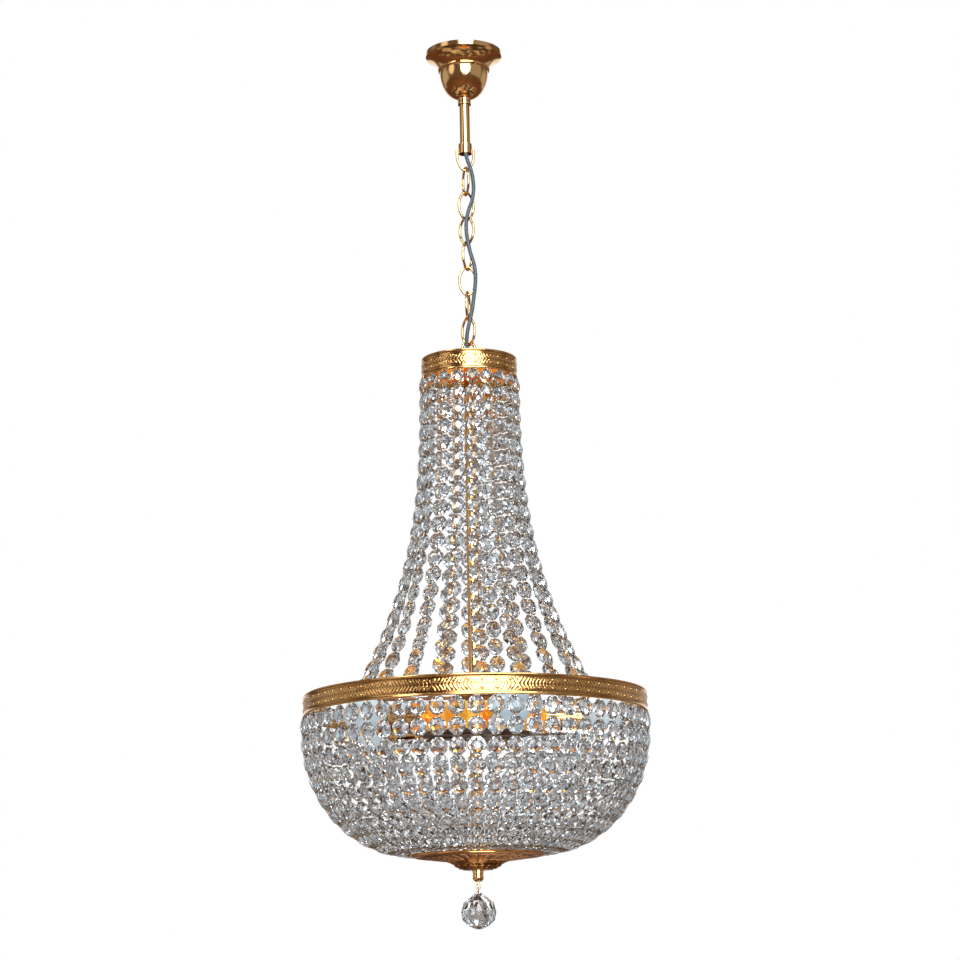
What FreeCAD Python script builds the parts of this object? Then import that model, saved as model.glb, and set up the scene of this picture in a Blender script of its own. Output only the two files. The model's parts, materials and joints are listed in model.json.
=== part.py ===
import FreeCAD, Part
import math
import os

# Crystal chandelier on a chain. The origin is on the ceiling, above the centre of the canopy.
# +Z is up, so everything lies below zero. -Y is the front. Lengths are in millimetres.

Vector = FreeCAD.Vector
UP = Vector(0, 0, 1)

# Clearances
hang_gap = 0.3          # between a piece and what it hangs on or swings round
slip_gap = 0.15         # round a piece that slides on another
bar_gap = 0.45          # round the top link's bar, in the coupling's cross holes

# Ceiling bracket
strap_length = 84.0
strap_width = 20.0
strap_thick = 2.0
strap_drop = 8.0        # the middle of the strap stands off the ceiling
strap_middle = 42.0     # length of the dropped middle
screw_spacing = 68.0
screw_slot_width = 5.2
screw_slot_length = 9.0
nut_flats = 19.0
nut_height = 3.0
terminal_x = 16.2           # centre of the terminal block
terminal_width = 9.0
terminal_depth = 16.0
terminal_height = 11.0

# Canopy, collar and down tube
canopy_rim_radius = 46.3
canopy_lip_height = 5.5
canopy_bead_radius = 31.4
canopy_bead_drop = 22.0
canopy_bead_half = 1.8      # half of the bead's height
canopy_bead_bulge = 1.0     # how far it stands out from its edges
canopy_lip_turn = 1.7       # how far the lip's lower edge is turned in
canopy_flare_out = 5.3      # middle of the flare, outside the bead
canopy_flare_rise = 10.5    # and above it
canopy_bowl_radius = 29.6
canopy_bowl_taper = 1.3     # of the bowl's side, halfway down
canopy_turn_in = 5.4        # where the bowl's side turns in to its foot
canopy_turn_rise = 12.5
canopy_height = 59.0
canopy_sheet = 1.2
collar_radius = 8.0
collar_height = 8.0
collar_screw_radius = 1.5
down_tube_radius = 6.2
down_tube_wall = 1.0
down_tube_top = -3.5
coupling_top = -116.9
coupling_height = 12.8
coupling_radius = 8.2
coupling_wall = 1.0
tube_in_coupling = 3.0
tube_mouth_wall = 0.3      # left at the lower end, where the tube is countersunk for the cable

# Chain
link_wire = 3.0
link_length = 37.7
link_width = 22.8
link_end_radius = 5.5
top_link_bar_drop = 7.6     # the short link's bar below the top of the coupling
top_link_length = 28.95
top_link_width = 23.4
top_link_corner = 2.4
top_link_straight = 7.0      # upright part of its sides, past the coupling's foot
link_count = 8              # with the short one
link_turns = [0, -70, 28, -34, 60, -2, 78, -41]   # degrees that each link's plane is turned about Z
loop_turn = 19

# Loop on top of the frame
loop_wire = 3.5
loop_width = 20.0
loop_hub_radius = 10.0
loop_hub_height = 10.0
loop_rise = 23.1            # top of the loop's wire axis above the foot of its hub

# Crown
crown_radius = 57.4
crown_height = 23.8
crown_plate_thick = 1.5
crown_plate_drop = 1.4      # below the crown's upper edge
band_sheet = 1.2
band_lip = 1.1              # radius of the rolled edges

# Centre tube
tube_radius = 7.0
tube_wall = 1.25
tube_in_hub = 8.0
tube_nut_flats = 20.0
tube_nut_height = 3.0

# Main ring
main_radius = 200.0
main_height = 23.5
main_drop = 402.8           # upper edge of the main band below that of the crown
spider_arm_width = 12.0
spider_arm_thick = 2.5
spider_arm_drop = 0.9
spider_hub_radius = 18.0
spider_tab_height = 12.0
spider_turn = 51.4          # degrees from the front to the first arm
rivet_radius = 2.0
rivet_head = 3.4
rivet_head_height = 1.2
funnel_ring_radius = 138.0
funnel_ring_wire = 4.0

# Lamp body and lamps
body_radius = 68.0
body_height = 32.0
body_drop = 14.0            # top of the lamp body below the main band's upper edge
body_sheet = 1.2
lamp_count = 5
lamp_turn = 15.4            # degrees from the front to the first lamp
nipple_radius = 5.0
nipple_length = 18.0
cup_stand = 9.0             # the foot of the flared cup stands off the lamp body
cup_length = 6.0
cup_radius = 16.0
cup_sheet = 1.0
sleeve_radius = 13.0
sleeve_wall = 0.8
sleeve_length = 49.0        # it and what follows are measured from the foot of the cup
core_radius = 10.0
core_length = 35.0
bulb_radius = 22.5
bulb_reach = 74.0           # to the centre of its globe
bulb_neck_radius = 9.0
bulb_cap_radius = 6.9
bulb_cap_length = 22.0
lamp_terminal_width = 12.0
lamp_terminal_depth = 16.0
bracket_width = 14.0
bracket_thick = 1.5
bracket_start = 24.0
bracket_reach = 39.0

# Bottom
ring_radius = 77.8
ring_wire = 3.2
ring_drop = 181.5           # upper edge of the bottom ring below the main band's upper edge
dish_slope_radius = 34.0
dish_slope_drop = 6.3
dish_boss_radius = 16.8
dish_boss_drop = 16.3
dish_sheet = 1.2
nipple_rod_radius = 4.0
plug_height = 10.0
finial_radius = 6.4
finial_height = 12.0
finial_washer_radius = 7.0
finial_washer_thick = 1.2
stem_radius = 1.8
stem_length = 4.6
stem_flat = 1.8             # thickness of the stem's flattened end
stem_hole_radius = 1.0
pendant_wire = 1.2
pendant_ring_radius = 2.6   # to the wire's axis
ball_radius = 20.5
ball_neck = 3.2             # height of the pointed top above the sphere
pin_eye_radius = 1.8        # to the wire's axis

# Crystals
crystal_width = 17.3
crystal_thick = 8.6
crystal_side = 7.2          # height of the octagon's upright sides
funnel_strands = 20
funnel_rows = 19
funnel_turn = 3.6
funnel_power = 2.7          # how late the funnel flares
basket_strands = 58
basket_rows = 10
basket_turn = 0.4
crystal_room = 1.0          # between the edges of neighbours in the basket
strand_groups = 5
basket_straight = 20.0      # upright part of the basket's strands, below the band
basket_lift = 0.8           # of the strands' lower ends above the bottom ring

# Supply cable
cable_radius = 2.3
cable_window_z = -40.5      # middle of the down tube's window for it
cable_window_width = 7.0
cable_window_height = 20.0
lamp_cable_drop = 15.0      # its end below the top of the lamp body
lamp_cable_reach = 32.0     # its end from the centre
lamp_window_drop = 9.0      # middle of the centre tube's window below the top of the lamp body

# Heights and distances that follow from the sizes above
coupling_foot = coupling_top - coupling_height
bar_z = coupling_top - top_link_bar_drop
oval_half = (link_length - link_wire) / 2
link_pitch = 2 * oval_half - link_wire - hang_gap
first_foot = bar_z - (top_link_length - link_wire)
first_oval = first_foot + link_wire + hang_gap - oval_half
last_foot = first_oval - (link_count - 2) * link_pitch - oval_half
loop_top = last_foot + (link_wire + loop_wire) / 2 + hang_gap
plate_top = loop_top - loop_rise
crown_top = plate_top + crown_plate_drop
crown_foot = crown_top - crown_height
plate_foot = plate_top - crown_plate_thick
hub_top = plate_top + loop_hub_height
tube_top = plate_top + tube_in_hub
main_top = crown_top - main_drop
main_foot = main_top - main_height
arm_top = main_top - spider_arm_drop
arm_foot = arm_top - spider_arm_thick
funnel_ring_z = arm_top + funnel_ring_wire / 2
body_top = main_top - body_drop
body_foot = body_top - body_height
bracket_foot = body_foot - bracket_thick
lamp_z = body_top - body_height / 2
cup_start = body_radius + cup_stand
sleeve_end = cup_start + sleeve_length
core_end = cup_start + core_length
bulb_centre = cup_start + bulb_reach
bracket_end = cup_start + bracket_reach
ring_top = main_top - ring_drop
ring_foot = ring_top - ring_wire
dish_foot = ring_foot - dish_boss_drop
dish_floor = dish_foot + dish_sheet
washer_foot = dish_foot - finial_washer_thick
finial_foot = washer_foot - finial_height
stem_foot = finial_foot - stem_length
stem_hole_z = stem_foot + stem_radius
pendant_ring_z = stem_hole_z - pendant_ring_radius
pin_eye_z = pendant_ring_z - pendant_ring_radius + pendant_wire + hang_gap - pin_eye_radius
ball_top = pin_eye_z - pin_eye_radius - pendant_wire / 2
ball_z = ball_top - ball_neck - ball_radius


def save(name, *solids):
    shape = solids[0] if len(solids) == 1 else Part.makeCompound(list(solids))
    shape.exportStep("parts/" + name + ".step")
    faces = sum(len(solid.Faces) for solid in solids)
    print(name, len(solids), "solids", faces, "faces", "valid" if shape.isValid() else "NOT VALID")


def rod(radius, low, high, x=0.0, y=0.0):
    return Part.makeCylinder(radius, high - low, Vector(x, y, low))


def pipe(outer, inner, low, high):
    return rod(outer, low, high).cut(rod(inner, low - 1, high + 1))


def block(width, depth, low, high, x=0.0, y=0.0):
    return Part.makeBox(width, depth, high - low, Vector(x - width / 2, y - depth / 2, low))


def turned(start, *moves):
    """A solid of revolution about Z. Each move is a point (r, z), or (through, to) for an arc."""
    edges = []
    here = Vector(start[0], 0, start[1])
    first = here
    for move in moves:
        if isinstance(move[0], tuple):
            through = Vector(move[0][0], 0, move[0][1])
            there = Vector(move[1][0], 0, move[1][1])
            edges.append(Part.Arc(here, through, there).toShape())
        else:
            there = Vector(move[0], 0, move[1])
            edges.append(Part.makeLine(here, there))
        here = there
    edges.append(Part.makeLine(here, first))
    return Part.Face(Part.Wire(edges)).revolve(Vector(0, 0, 0), UP, 360)


def spun(shape, degrees):
    """A copy turned about the chandelier's axis."""
    copy = shape.copy()
    copy.rotate(Vector(0, 0, 0), UP, degrees)
    return copy


def around(shape, count, start):
    """Copies of a shape that points to the front, the first one turned by start degrees."""
    return [spun(shape, start + 360.0 * k / count) for k in range(count)]


def hexagon(flats, low, high):
    corner = flats / math.sqrt(3)
    points = [Vector(corner * math.cos(math.radians(60 * k)), corner * math.sin(math.radians(60 * k)), low)
              for k in range(7)]
    return Part.Face(Part.makePolygon(points)).extrude(Vector(0, 0, high - low))


def nut(flats, bore, low, high):
    return hexagon(flats, low, high).cut(rod(bore, low - 1, high + 1))


def bent_wire(edges, diameter, start, along):
    path = Part.Wire(edges)
    circle = Part.Wire(Part.Circle(start, along, diameter / 2).toShape())
    return Part.Solid(path.makePipeShell([circle], True, True))


def chain_oval(length, width, wire, end_radius, centre_z, turn):
    """An oval link of round wire in four arcs that run into each other."""
    high = (length - wire) / 2
    wide = (width - wire) / 2
    end = high - end_radius
    side_radius = (end * end + wide * wide - end_radius * end_radius) / (2 * (wide - end_radius))
    side = side_radius - wide
    lean = math.atan2(end, side)
    edges = []
    joint = (-side + side_radius * math.cos(lean), side_radius * math.sin(lean))

    def at(x, z):
        return Vector(x, 0, centre_z + z)

    edges.append(Part.Arc(at(joint[0], -joint[1]), at(wide, 0), at(*joint)).toShape())
    edges.append(Part.Arc(at(*joint), at(0, high), at(-joint[0], joint[1])).toShape())
    edges.append(Part.Arc(at(-joint[0], joint[1]), at(-wide, 0), at(-joint[0], -joint[1])).toShape())
    edges.append(Part.Arc(at(-joint[0], -joint[1]), at(0, -high), at(joint[0], -joint[1])).toShape())
    tangent = Vector(side_radius * math.sin(lean), 0, side_radius * math.cos(lean))
    return spun(bent_wire(edges, wire, at(joint[0], -joint[1]), tangent), turn)


def short_link():
    """The link whose straight bar runs through the coupling's cross holes."""
    wide = (top_link_width - link_wire) / 2
    corner = top_link_corner
    foot = -(top_link_length - link_wire)
    bar_end = wide - corner
    # below its upright part each side is an arc that runs into the foot's arc
    drop = foot + link_end_radius + top_link_straight
    inset = wide - link_end_radius
    side_radius = (drop * drop / inset + wide + link_end_radius) / 2
    lean = math.atan2(-drop, side_radius - wide)

    def at(x, z):
        return Vector(x, 0, bar_z + z)

    def on_side(angle):
        return (wide - side_radius * (1 - math.cos(angle)), -top_link_straight - side_radius * math.sin(angle))

    edges = []
    for side in (1, -1):
        bend = (side * (bar_end + corner * math.sin(math.pi / 4)), corner * (math.cos(math.pi / 4) - 1))
        half, joint = on_side(lean / 2), on_side(lean)
        edges.append([Part.makeLine(at(0, 0), at(side * bar_end, 0)),
                      Part.Arc(at(side * bar_end, 0), at(*bend), at(side * wide, -corner)).toShape(),
                      Part.makeLine(at(side * wide, -corner), at(side * wide, -top_link_straight)),
                      Part.Arc(at(side * wide, -top_link_straight), at(side * half[0], half[1]),
                               at(side * joint[0], joint[1])).toShape()])
    bow = Part.Arc(at(*joint), at(0, foot), at(-joint[0], joint[1])).toShape()
    return bent_wire(edges[0] + [bow] + edges[1][::-1], link_wire, at(0, 0), Vector(1, 0, 0))


def gallery_band(radius, top, foot):
    """A sheet-metal band whose two edges are rolled outwards to the full radius."""
    outer = radius - band_lip / 2
    inner = outer - band_sheet
    roll = band_lip
    return turned((inner, foot), (outer, foot), ((radius, foot + roll), (outer, foot + 2 * roll)),
                  (outer, top - 2 * roll), ((radius, top - roll), (outer, top)), (inner, top))


# Ceiling fixing

def ceiling_bracket():
    slope = strap_drop - strap_thick
    half = strap_length / 2
    mid = strap_middle / 2
    upper = [(-half, 0), (-mid - slope, 0), (-mid, -slope), (mid, -slope), (mid + slope, 0), (half, 0)]
    lower = [(half, -strap_thick), (mid + slope - 1, -strap_thick), (mid - 1, -slope - strap_thick),
             (1 - mid, -slope - strap_thick), (1 - mid - slope, -strap_thick), (-half, -strap_thick)]
    points = [Vector(x, -strap_width / 2, z) for x, z in upper + lower]
    strap = Part.Face(Part.makePolygon(points + points[:1])).extrude(Vector(0, strap_width, 0))
    strap = strap.cut(rod(down_tube_radius + slip_gap, -strap_drop - 1, 0))
    reach = (screw_slot_length - screw_slot_width) / 2
    for side in (-1, 1):
        centre = side * screw_spacing / 2
        for end in (-reach, reach):
            strap = strap.cut(rod(screw_slot_width / 2, -strap_thick - 1, 1, centre + end))
        strap = strap.cut(block(2 * reach, screw_slot_width, -strap_thick - 1, 1, centre))
    save("ceiling_bracket", strap)


def bracket_nuts():
    middle_top = -(strap_drop - strap_thick)
    upper = nut(nut_flats, down_tube_radius, middle_top, down_tube_top + 0.3)
    lower = nut(nut_flats, down_tube_radius, -strap_drop - nut_height, -strap_drop)
    save("bracket_nuts", upper, lower)


def terminal_block():
    """A block of three screw terminals under the strap. The cable's wires enter it from below."""
    foot = -strap_drop - terminal_height
    body = block(terminal_width, terminal_depth, foot, -strap_drop, terminal_x)
    body = body.makeFillet(1.0, [edge for edge in body.Edges if edge.BoundBox.ZLength > terminal_height - 0.1])
    for row in (-1, 0, 1):
        screw = Part.makeCylinder(1.5, 3.0, Vector(terminal_x + terminal_width / 2 - 3, row * terminal_depth / 3.4,
                                                   -strap_drop - terminal_height / 2), Vector(1, 0, 0))
        body = body.cut(screw)
    save("terminal_block", body)


def down_tube():
    foot = coupling_top - tube_in_coupling
    bore = down_tube_radius - down_tube_wall
    tube = pipe(down_tube_radius, bore, foot, down_tube_top)
    tube = tube.cut(Part.makeCone(down_tube_radius - tube_mouth_wall, bore, tube_in_coupling, Vector(0, 0, foot)))
    half = cable_window_height / 2 - cable_window_width / 2
    window = block(20, cable_window_width, cable_window_z - half, cable_window_z + half, 10)
    for end in (-half, half):
        window = window.fuse(Part.makeCylinder(cable_window_width / 2, 20, Vector(0, 0, cable_window_z + end),
                                               Vector(1, 0, 0)))
    save("down_tube", tube.cut(window))


def tube_coupling():
    bore = coupling_radius - coupling_wall
    body = rod(coupling_radius, coupling_foot, coupling_top)
    body = body.makeFillet(1.0, [edge for edge in body.Edges if len(edge.Vertexes) == 1
                                 and abs(edge.BoundBox.ZMax - coupling_top) < 0.01])
    seat = coupling_top - tube_in_coupling
    body = body.cut(rod(down_tube_radius, seat, coupling_top + 1)).cut(rod(bore, coupling_foot - 1, seat))
    hole = link_wire / 2 + bar_gap
    body = body.cut(Part.makeCylinder(hole, 2 * coupling_radius + 2, Vector(-coupling_radius - 1, 0, bar_z),
                                      Vector(1, 0, 0)))
    save("tube_coupling", body)


# Canopy

def canopy():
    """A spun shell: lip, flare, bead and bowl, down to a flat foot round the tube."""
    sheet = canopy_sheet
    rim = canopy_rim_radius
    bowl = canopy_bowl_radius
    hole = down_tube_radius + slip_gap
    foot = -canopy_height
    lip_foot = -canopy_lip_height
    bead_z = -canopy_bead_drop
    bead_edge = canopy_bead_radius + 0.4 - canopy_bead_bulge
    side_z = (bead_z + foot) / 2 + 4.5
    turn_z = foot + canopy_turn_rise
    flare = (canopy_bead_radius + canopy_flare_out, bead_z + canopy_flare_rise)
    side = (bowl - canopy_bowl_taper, side_z)
    turn = (bowl - canopy_turn_in, turn_z)
    under = (turn[0] - canopy_turn_in - 0.3, foot + canopy_turn_rise * 0.4)
    outside = [
        (rim, lip_foot), (rim - canopy_lip_turn, lip_foot - canopy_lip_turn / 2 + 0.05),
        (flare, (bead_edge, bead_z + canopy_bead_half)),
        ((bead_edge + canopy_bead_bulge, bead_z), (bead_edge, bead_z - canopy_bead_half)),
        (bowl, bead_z - canopy_bead_half - 0.4), (side, turn), (under, (collar_radius + 0.4, foot)), (hole, foot)]
    inside = [
        (hole, foot + sheet), (collar_radius, foot + sheet),
        ((under[0] - 0.7, under[1] + 0.9), (turn[0] - 1.1, turn_z + 0.5)),
        ((side[0] - sheet, side_z), (bowl - sheet, bead_z - sheet)),
        (bead_edge - sheet, bead_z + canopy_bead_half - 0.4),
        ((flare[0] - 0.9, flare[1] + 0.9), (rim - canopy_lip_turn - 0.6, lip_foot + 0.4)),
        (rim - sheet, lip_foot + sheet / 2), (rim - sheet, 0)]
    save("canopy", turned((rim, 0), *outside, *inside))


def canopy_collar():
    top = -canopy_height
    foot = top - collar_height
    hole = down_tube_radius + slip_gap
    waist = collar_radius - 0.5
    body = turned((hole, foot), (collar_radius, foot), (collar_radius, foot + 2.6), (waist, foot + 3.2),
                  (waist, foot + 3.9), (collar_radius - 0.2, foot + 4.5), (collar_radius - 0.2, top), (hole, top))
    tap = Part.makeCylinder(collar_screw_radius, collar_radius + 2, Vector(0, 0, top - 5.8), Vector(0, 1, 0))
    save("canopy_collar", body.cut(tap))
    screw = Part.makeCylinder(collar_screw_radius, collar_radius + 0.6 - hole, Vector(0, hole, top - 5.8),
                              Vector(0, 1, 0))
    slot = Part.makeBox(2 * collar_screw_radius, 0.8, 0.6,
                        Vector(-collar_screw_radius, collar_radius + 0.1, top - 6.1))
    save("collar_screw", screw.cut(slot))


# Chain and the loop that it carries

def chain():
    save("chain_link_1", short_link())
    for k in range(link_count - 1):
        centre = first_oval - k * link_pitch
        link = chain_oval(link_length, link_width, link_wire, link_end_radius, centre, link_turns[k + 1])
        save("chain_link_" + str(k + 2), link)


def frame_loop():
    leg = (loop_width - loop_wire) / 2
    bow = loop_top - leg
    inside = plate_top + loop_hub_height / 2
    edges = [Part.makeLine(Vector(leg, 0, inside), Vector(leg, 0, bow)),
             Part.Arc(Vector(leg, 0, bow), Vector(0, 0, loop_top), Vector(-leg, 0, bow)).toShape(),
             Part.makeLine(Vector(-leg, 0, bow), Vector(-leg, 0, inside))]
    loop = bent_wire(edges, loop_wire, Vector(leg, 0, inside), UP)
    hub = rod(loop_hub_radius, plate_top, hub_top)
    hub = hub.makeFillet(1.0, [edge for edge in hub.Edges if len(edge.Vertexes) == 1
                               and abs(edge.BoundBox.ZMax - hub_top) < 0.01])
    body = hub.fuse(loop)
    body = body.cut(rod(tube_radius, plate_top - 1, tube_top))
    body = body.cut(rod(tube_radius - tube_wall, tube_top, hub_top + 1))
    save("frame_loop", spun(body, loop_turn))


# Crown

def crown():
    save("crown_band", gallery_band(crown_radius, crown_top, crown_foot))
    edge = crown_radius - band_lip / 2 - band_sheet
    plate = pipe(edge, tube_radius, plate_foot, plate_top)
    for k in range(5):
        angle = math.radians(36 + 72 * k)
        reach = (edge + loop_hub_radius) / 2 + 1
        plate = plate.cut(rod(9.0, plate_foot - 1, plate_top + 1, reach * math.sin(angle), -reach * math.cos(angle)))
    save("crown_plate", plate)


def centre_tube():
    bore = tube_radius - tube_wall
    tube = pipe(tube_radius, bore, dish_floor, tube_top)
    way_out = Vector(cable_sin, -cable_cos, 0)
    window = Part.makeCylinder(cable_radius + 1.2, 20, Vector(0, 0, body_top - lamp_window_drop), way_out)
    for shift in (-3.5, 0, 3.5):
        tube = tube.cut(window.translated(Vector(0, 0, shift)))
    save("centre_tube", tube)
    # one nut under the crown, one on each side of the spider and of the lamp body
    seats = (plate_foot - tube_nut_height, arm_top, arm_foot - tube_nut_height, body_top,
             bracket_foot - tube_nut_height)
    save("tube_nuts", *[nut(tube_nut_flats, tube_radius, foot, foot + tube_nut_height) for foot in seats])


# Main ring

def main_ring():
    save("main_band", gallery_band(main_radius, main_top, main_foot))
    inside = main_radius - band_lip / 2 - band_sheet
    arm = block(spider_arm_width, inside - 6, arm_foot, arm_top, 0, -(inside + 6) / 2)
    tab = block(spider_arm_width, spider_arm_thick, arm_foot - spider_tab_height, arm_top,
                0, -(inside - spider_arm_thick / 2))
    arm = arm.fuse(tab).common(rod(inside, arm_foot - spider_tab_height - 1, arm_top + 1))
    spider = pipe(spider_hub_radius, tube_radius, arm_foot, arm_top)
    for copy in around(arm, lamp_count, spider_turn):
        spider = spider.fuse(copy)
    spider = spider.cut(rod(tube_radius, arm_foot - 1, arm_top + 1)).removeSplitter()
    rivet_z = arm_foot - spider_tab_height / 2 - 1
    hole = Part.makeCylinder(rivet_radius, spider_arm_thick * 2, Vector(0, -inside - 1, rivet_z), Vector(0, 1, 0))
    for copy in around(hole, lamp_count, spider_turn):
        spider = spider.cut(copy)
    save("ring_spider", spider)
    back = inside - spider_arm_thick
    shank = Part.makeCylinder(rivet_radius, spider_arm_thick - 0.3, Vector(0, -inside + 0.3, rivet_z), Vector(0, 1, 0))
    head = Part.makeCylinder(rivet_head, rivet_head_height, Vector(0, -back, rivet_z), Vector(0, 1, 0))
    rivet = shank.fuse(head)
    save("ring_rivets", *around(rivet, lamp_count, spider_turn))
    save("funnel_ring", Part.makeTorus(funnel_ring_radius, funnel_ring_wire / 2, Vector(0, 0, funnel_ring_z), UP))


# Lamp body and lamps

def lamp_body():
    corner = 4.0
    inner = body_radius - body_sheet
    floor = body_foot + body_sheet
    pan = turned((tube_radius, body_foot), (body_radius - corner, body_foot),
                 ((body_radius - 1.2, body_foot + 1.2), (body_radius, body_foot + corner)),
                 (body_radius, body_top - body_sheet), (inner, body_top - body_sheet), (inner, body_foot + corner),
                 ((inner - 1.0, floor + 1.0), (inner - corner + 1, floor)), (tube_radius, floor))
    hole = Part.makeCylinder(nipple_radius, 12, Vector(0, -body_radius + 6, lamp_z), Vector(0, -1, 0))
    for copy in around(hole, lamp_count, lamp_turn):
        pan = pan.cut(copy)
    save("lamp_body", pan)
    lid = turned((tube_radius, body_top - body_sheet), (body_radius + 0.8, body_top - body_sheet),
                 ((body_radius + 1.2, body_top - body_sheet / 2), (body_radius + 0.8, body_top)),
                 (tube_radius, body_top))
    save("lamp_body_lid", lid)


def lamp_parts():
    front = Vector(0, -1, 0)

    def lying(shape):
        """From upright on Z, height meaning distance from the centre, to lying out to the front."""
        copy = shape.copy()
        copy.rotate(Vector(0, 0, 0), Vector(1, 0, 0), 90)
        copy.translate(Vector(0, 0, lamp_z))
        return copy

    cup_end = cup_start + cup_length
    nipple_start = body_radius - 5.0
    nipple = pipe(nipple_radius, nipple_radius - 1.4, nipple_start, nipple_start + nipple_length)
    save("lamp_nipples", *around(lying(nipple), lamp_count, lamp_turn))
    flat = 13.0
    inner_nut = nut(flat, nipple_radius, body_radius - body_sheet - 2.5, body_radius - body_sheet)
    flats = body_radius - body_sheet - 0.6
    inner_nut = inner_nut.common(rod(flat, 0, flats))
    outer_nut = nut(flat, nipple_radius, cup_start - 3.0, cup_start)
    spacer = pipe(nipple_radius + 2.5, nipple_radius, body_radius, cup_start - 3.0)
    collar = spacer.cut(rod(body_radius, -200, 200).rotated(Vector(0, 0, 0), Vector(1, 0, 0), 90))
    save("lamp_spacers", *around(lying(collar), lamp_count, lamp_turn))
    save("lamp_nuts", *(around(lying(inner_nut), lamp_count, lamp_turn)
                        + around(lying(outer_nut), lamp_count, lamp_turn)))
    cup = turned((nipple_radius, cup_start), (sleeve_radius - 2, cup_start),
                 ((sleeve_radius + 1.0, cup_start + 1.6), (cup_radius, cup_end)),
                 (cup_radius - 1.0, cup_end), ((sleeve_radius + 0.2, cup_start + 2.4),
                                               (sleeve_radius - 2.6, cup_start + cup_sheet)),
                 (nipple_radius, cup_start + cup_sheet))
    save("lamp_cups", *around(lying(cup), lamp_count, lamp_turn))
    seat = cup_start + 2.8
    sleeve = pipe(sleeve_radius, sleeve_radius - sleeve_wall, seat, sleeve_end)
    rim = turned((sleeve_radius - sleeve_wall, sleeve_end - 1.6), (sleeve_radius, sleeve_end - 1.6),
                 ((sleeve_radius + 0.8, sleeve_end - 0.8), (sleeve_radius, sleeve_end)),
                 (sleeve_radius - sleeve_wall, sleeve_end))
    save("lamp_sleeves", *around(lying(sleeve.fuse(rim).removeSplitter()), lamp_count, lamp_turn))
    core_start = cup_start + cup_sheet
    bore = bulb_cap_radius + slip_gap
    cap_start = bulb_centre - bulb_radius - bulb_cap_length - 4.0
    core = rod(core_radius, core_start, core_end).cut(rod(bore, cap_start - 0.3, core_end + 1))
    core = core.cut(rod(nipple_radius, core_start - 1, nipple_start + nipple_length))
    save("lamp_holder_cores", *around(lying(core), lamp_count, lamp_turn))
    cap_end = cap_start + bulb_cap_length
    cap = turned((0, cap_start), (3.0, cap_start), (bulb_cap_radius, cap_start + 4.0), (bulb_cap_radius, cap_end),
                 (0, cap_end))
    save("bulb_caps", *around(lying(cap), lamp_count, lamp_turn))
    neck_end = bulb_centre - math.sqrt(bulb_radius ** 2 - bulb_neck_radius ** 2)
    neck = Part.makeCone(bulb_cap_radius + 0.6, bulb_neck_radius, neck_end - cap_end, Vector(0, 0, cap_end))
    globe = neck.fuse(Part.makeSphere(bulb_radius, Vector(0, 0, bulb_centre)))
    save("bulb_globes", *around(lying(globe), lamp_count, lamp_turn))
    strip = block(bracket_width, bracket_end - bracket_start, bracket_foot, body_foot,
                  0, -(bracket_start + bracket_end) / 2)
    rest = lamp_z - sleeve_radius
    tab = block(bracket_width, bracket_thick, bracket_foot, rest, 0, -bracket_end + bracket_thick / 2)
    bracket_ring = pipe(bracket_start + 4, tube_radius, bracket_foot, body_foot)
    star = bracket_ring
    for copy in around(strip.fuse(tab), lamp_count, lamp_turn):
        star = star.fuse(copy)
    save("lamp_brackets", star.removeSplitter())


def lamp_terminal():
    body = block(lamp_terminal_width, lamp_terminal_depth, body_foot + body_sheet, lamp_cable_z + 5,
                 0, -lamp_cable_reach - lamp_terminal_depth / 2)
    body = body.makeFillet(1.0, [edge for edge in body.Edges if edge.BoundBox.ZLength > 3])
    save("lamp_terminal_block", spun(body, spider_turn))


# Bottom

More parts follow.
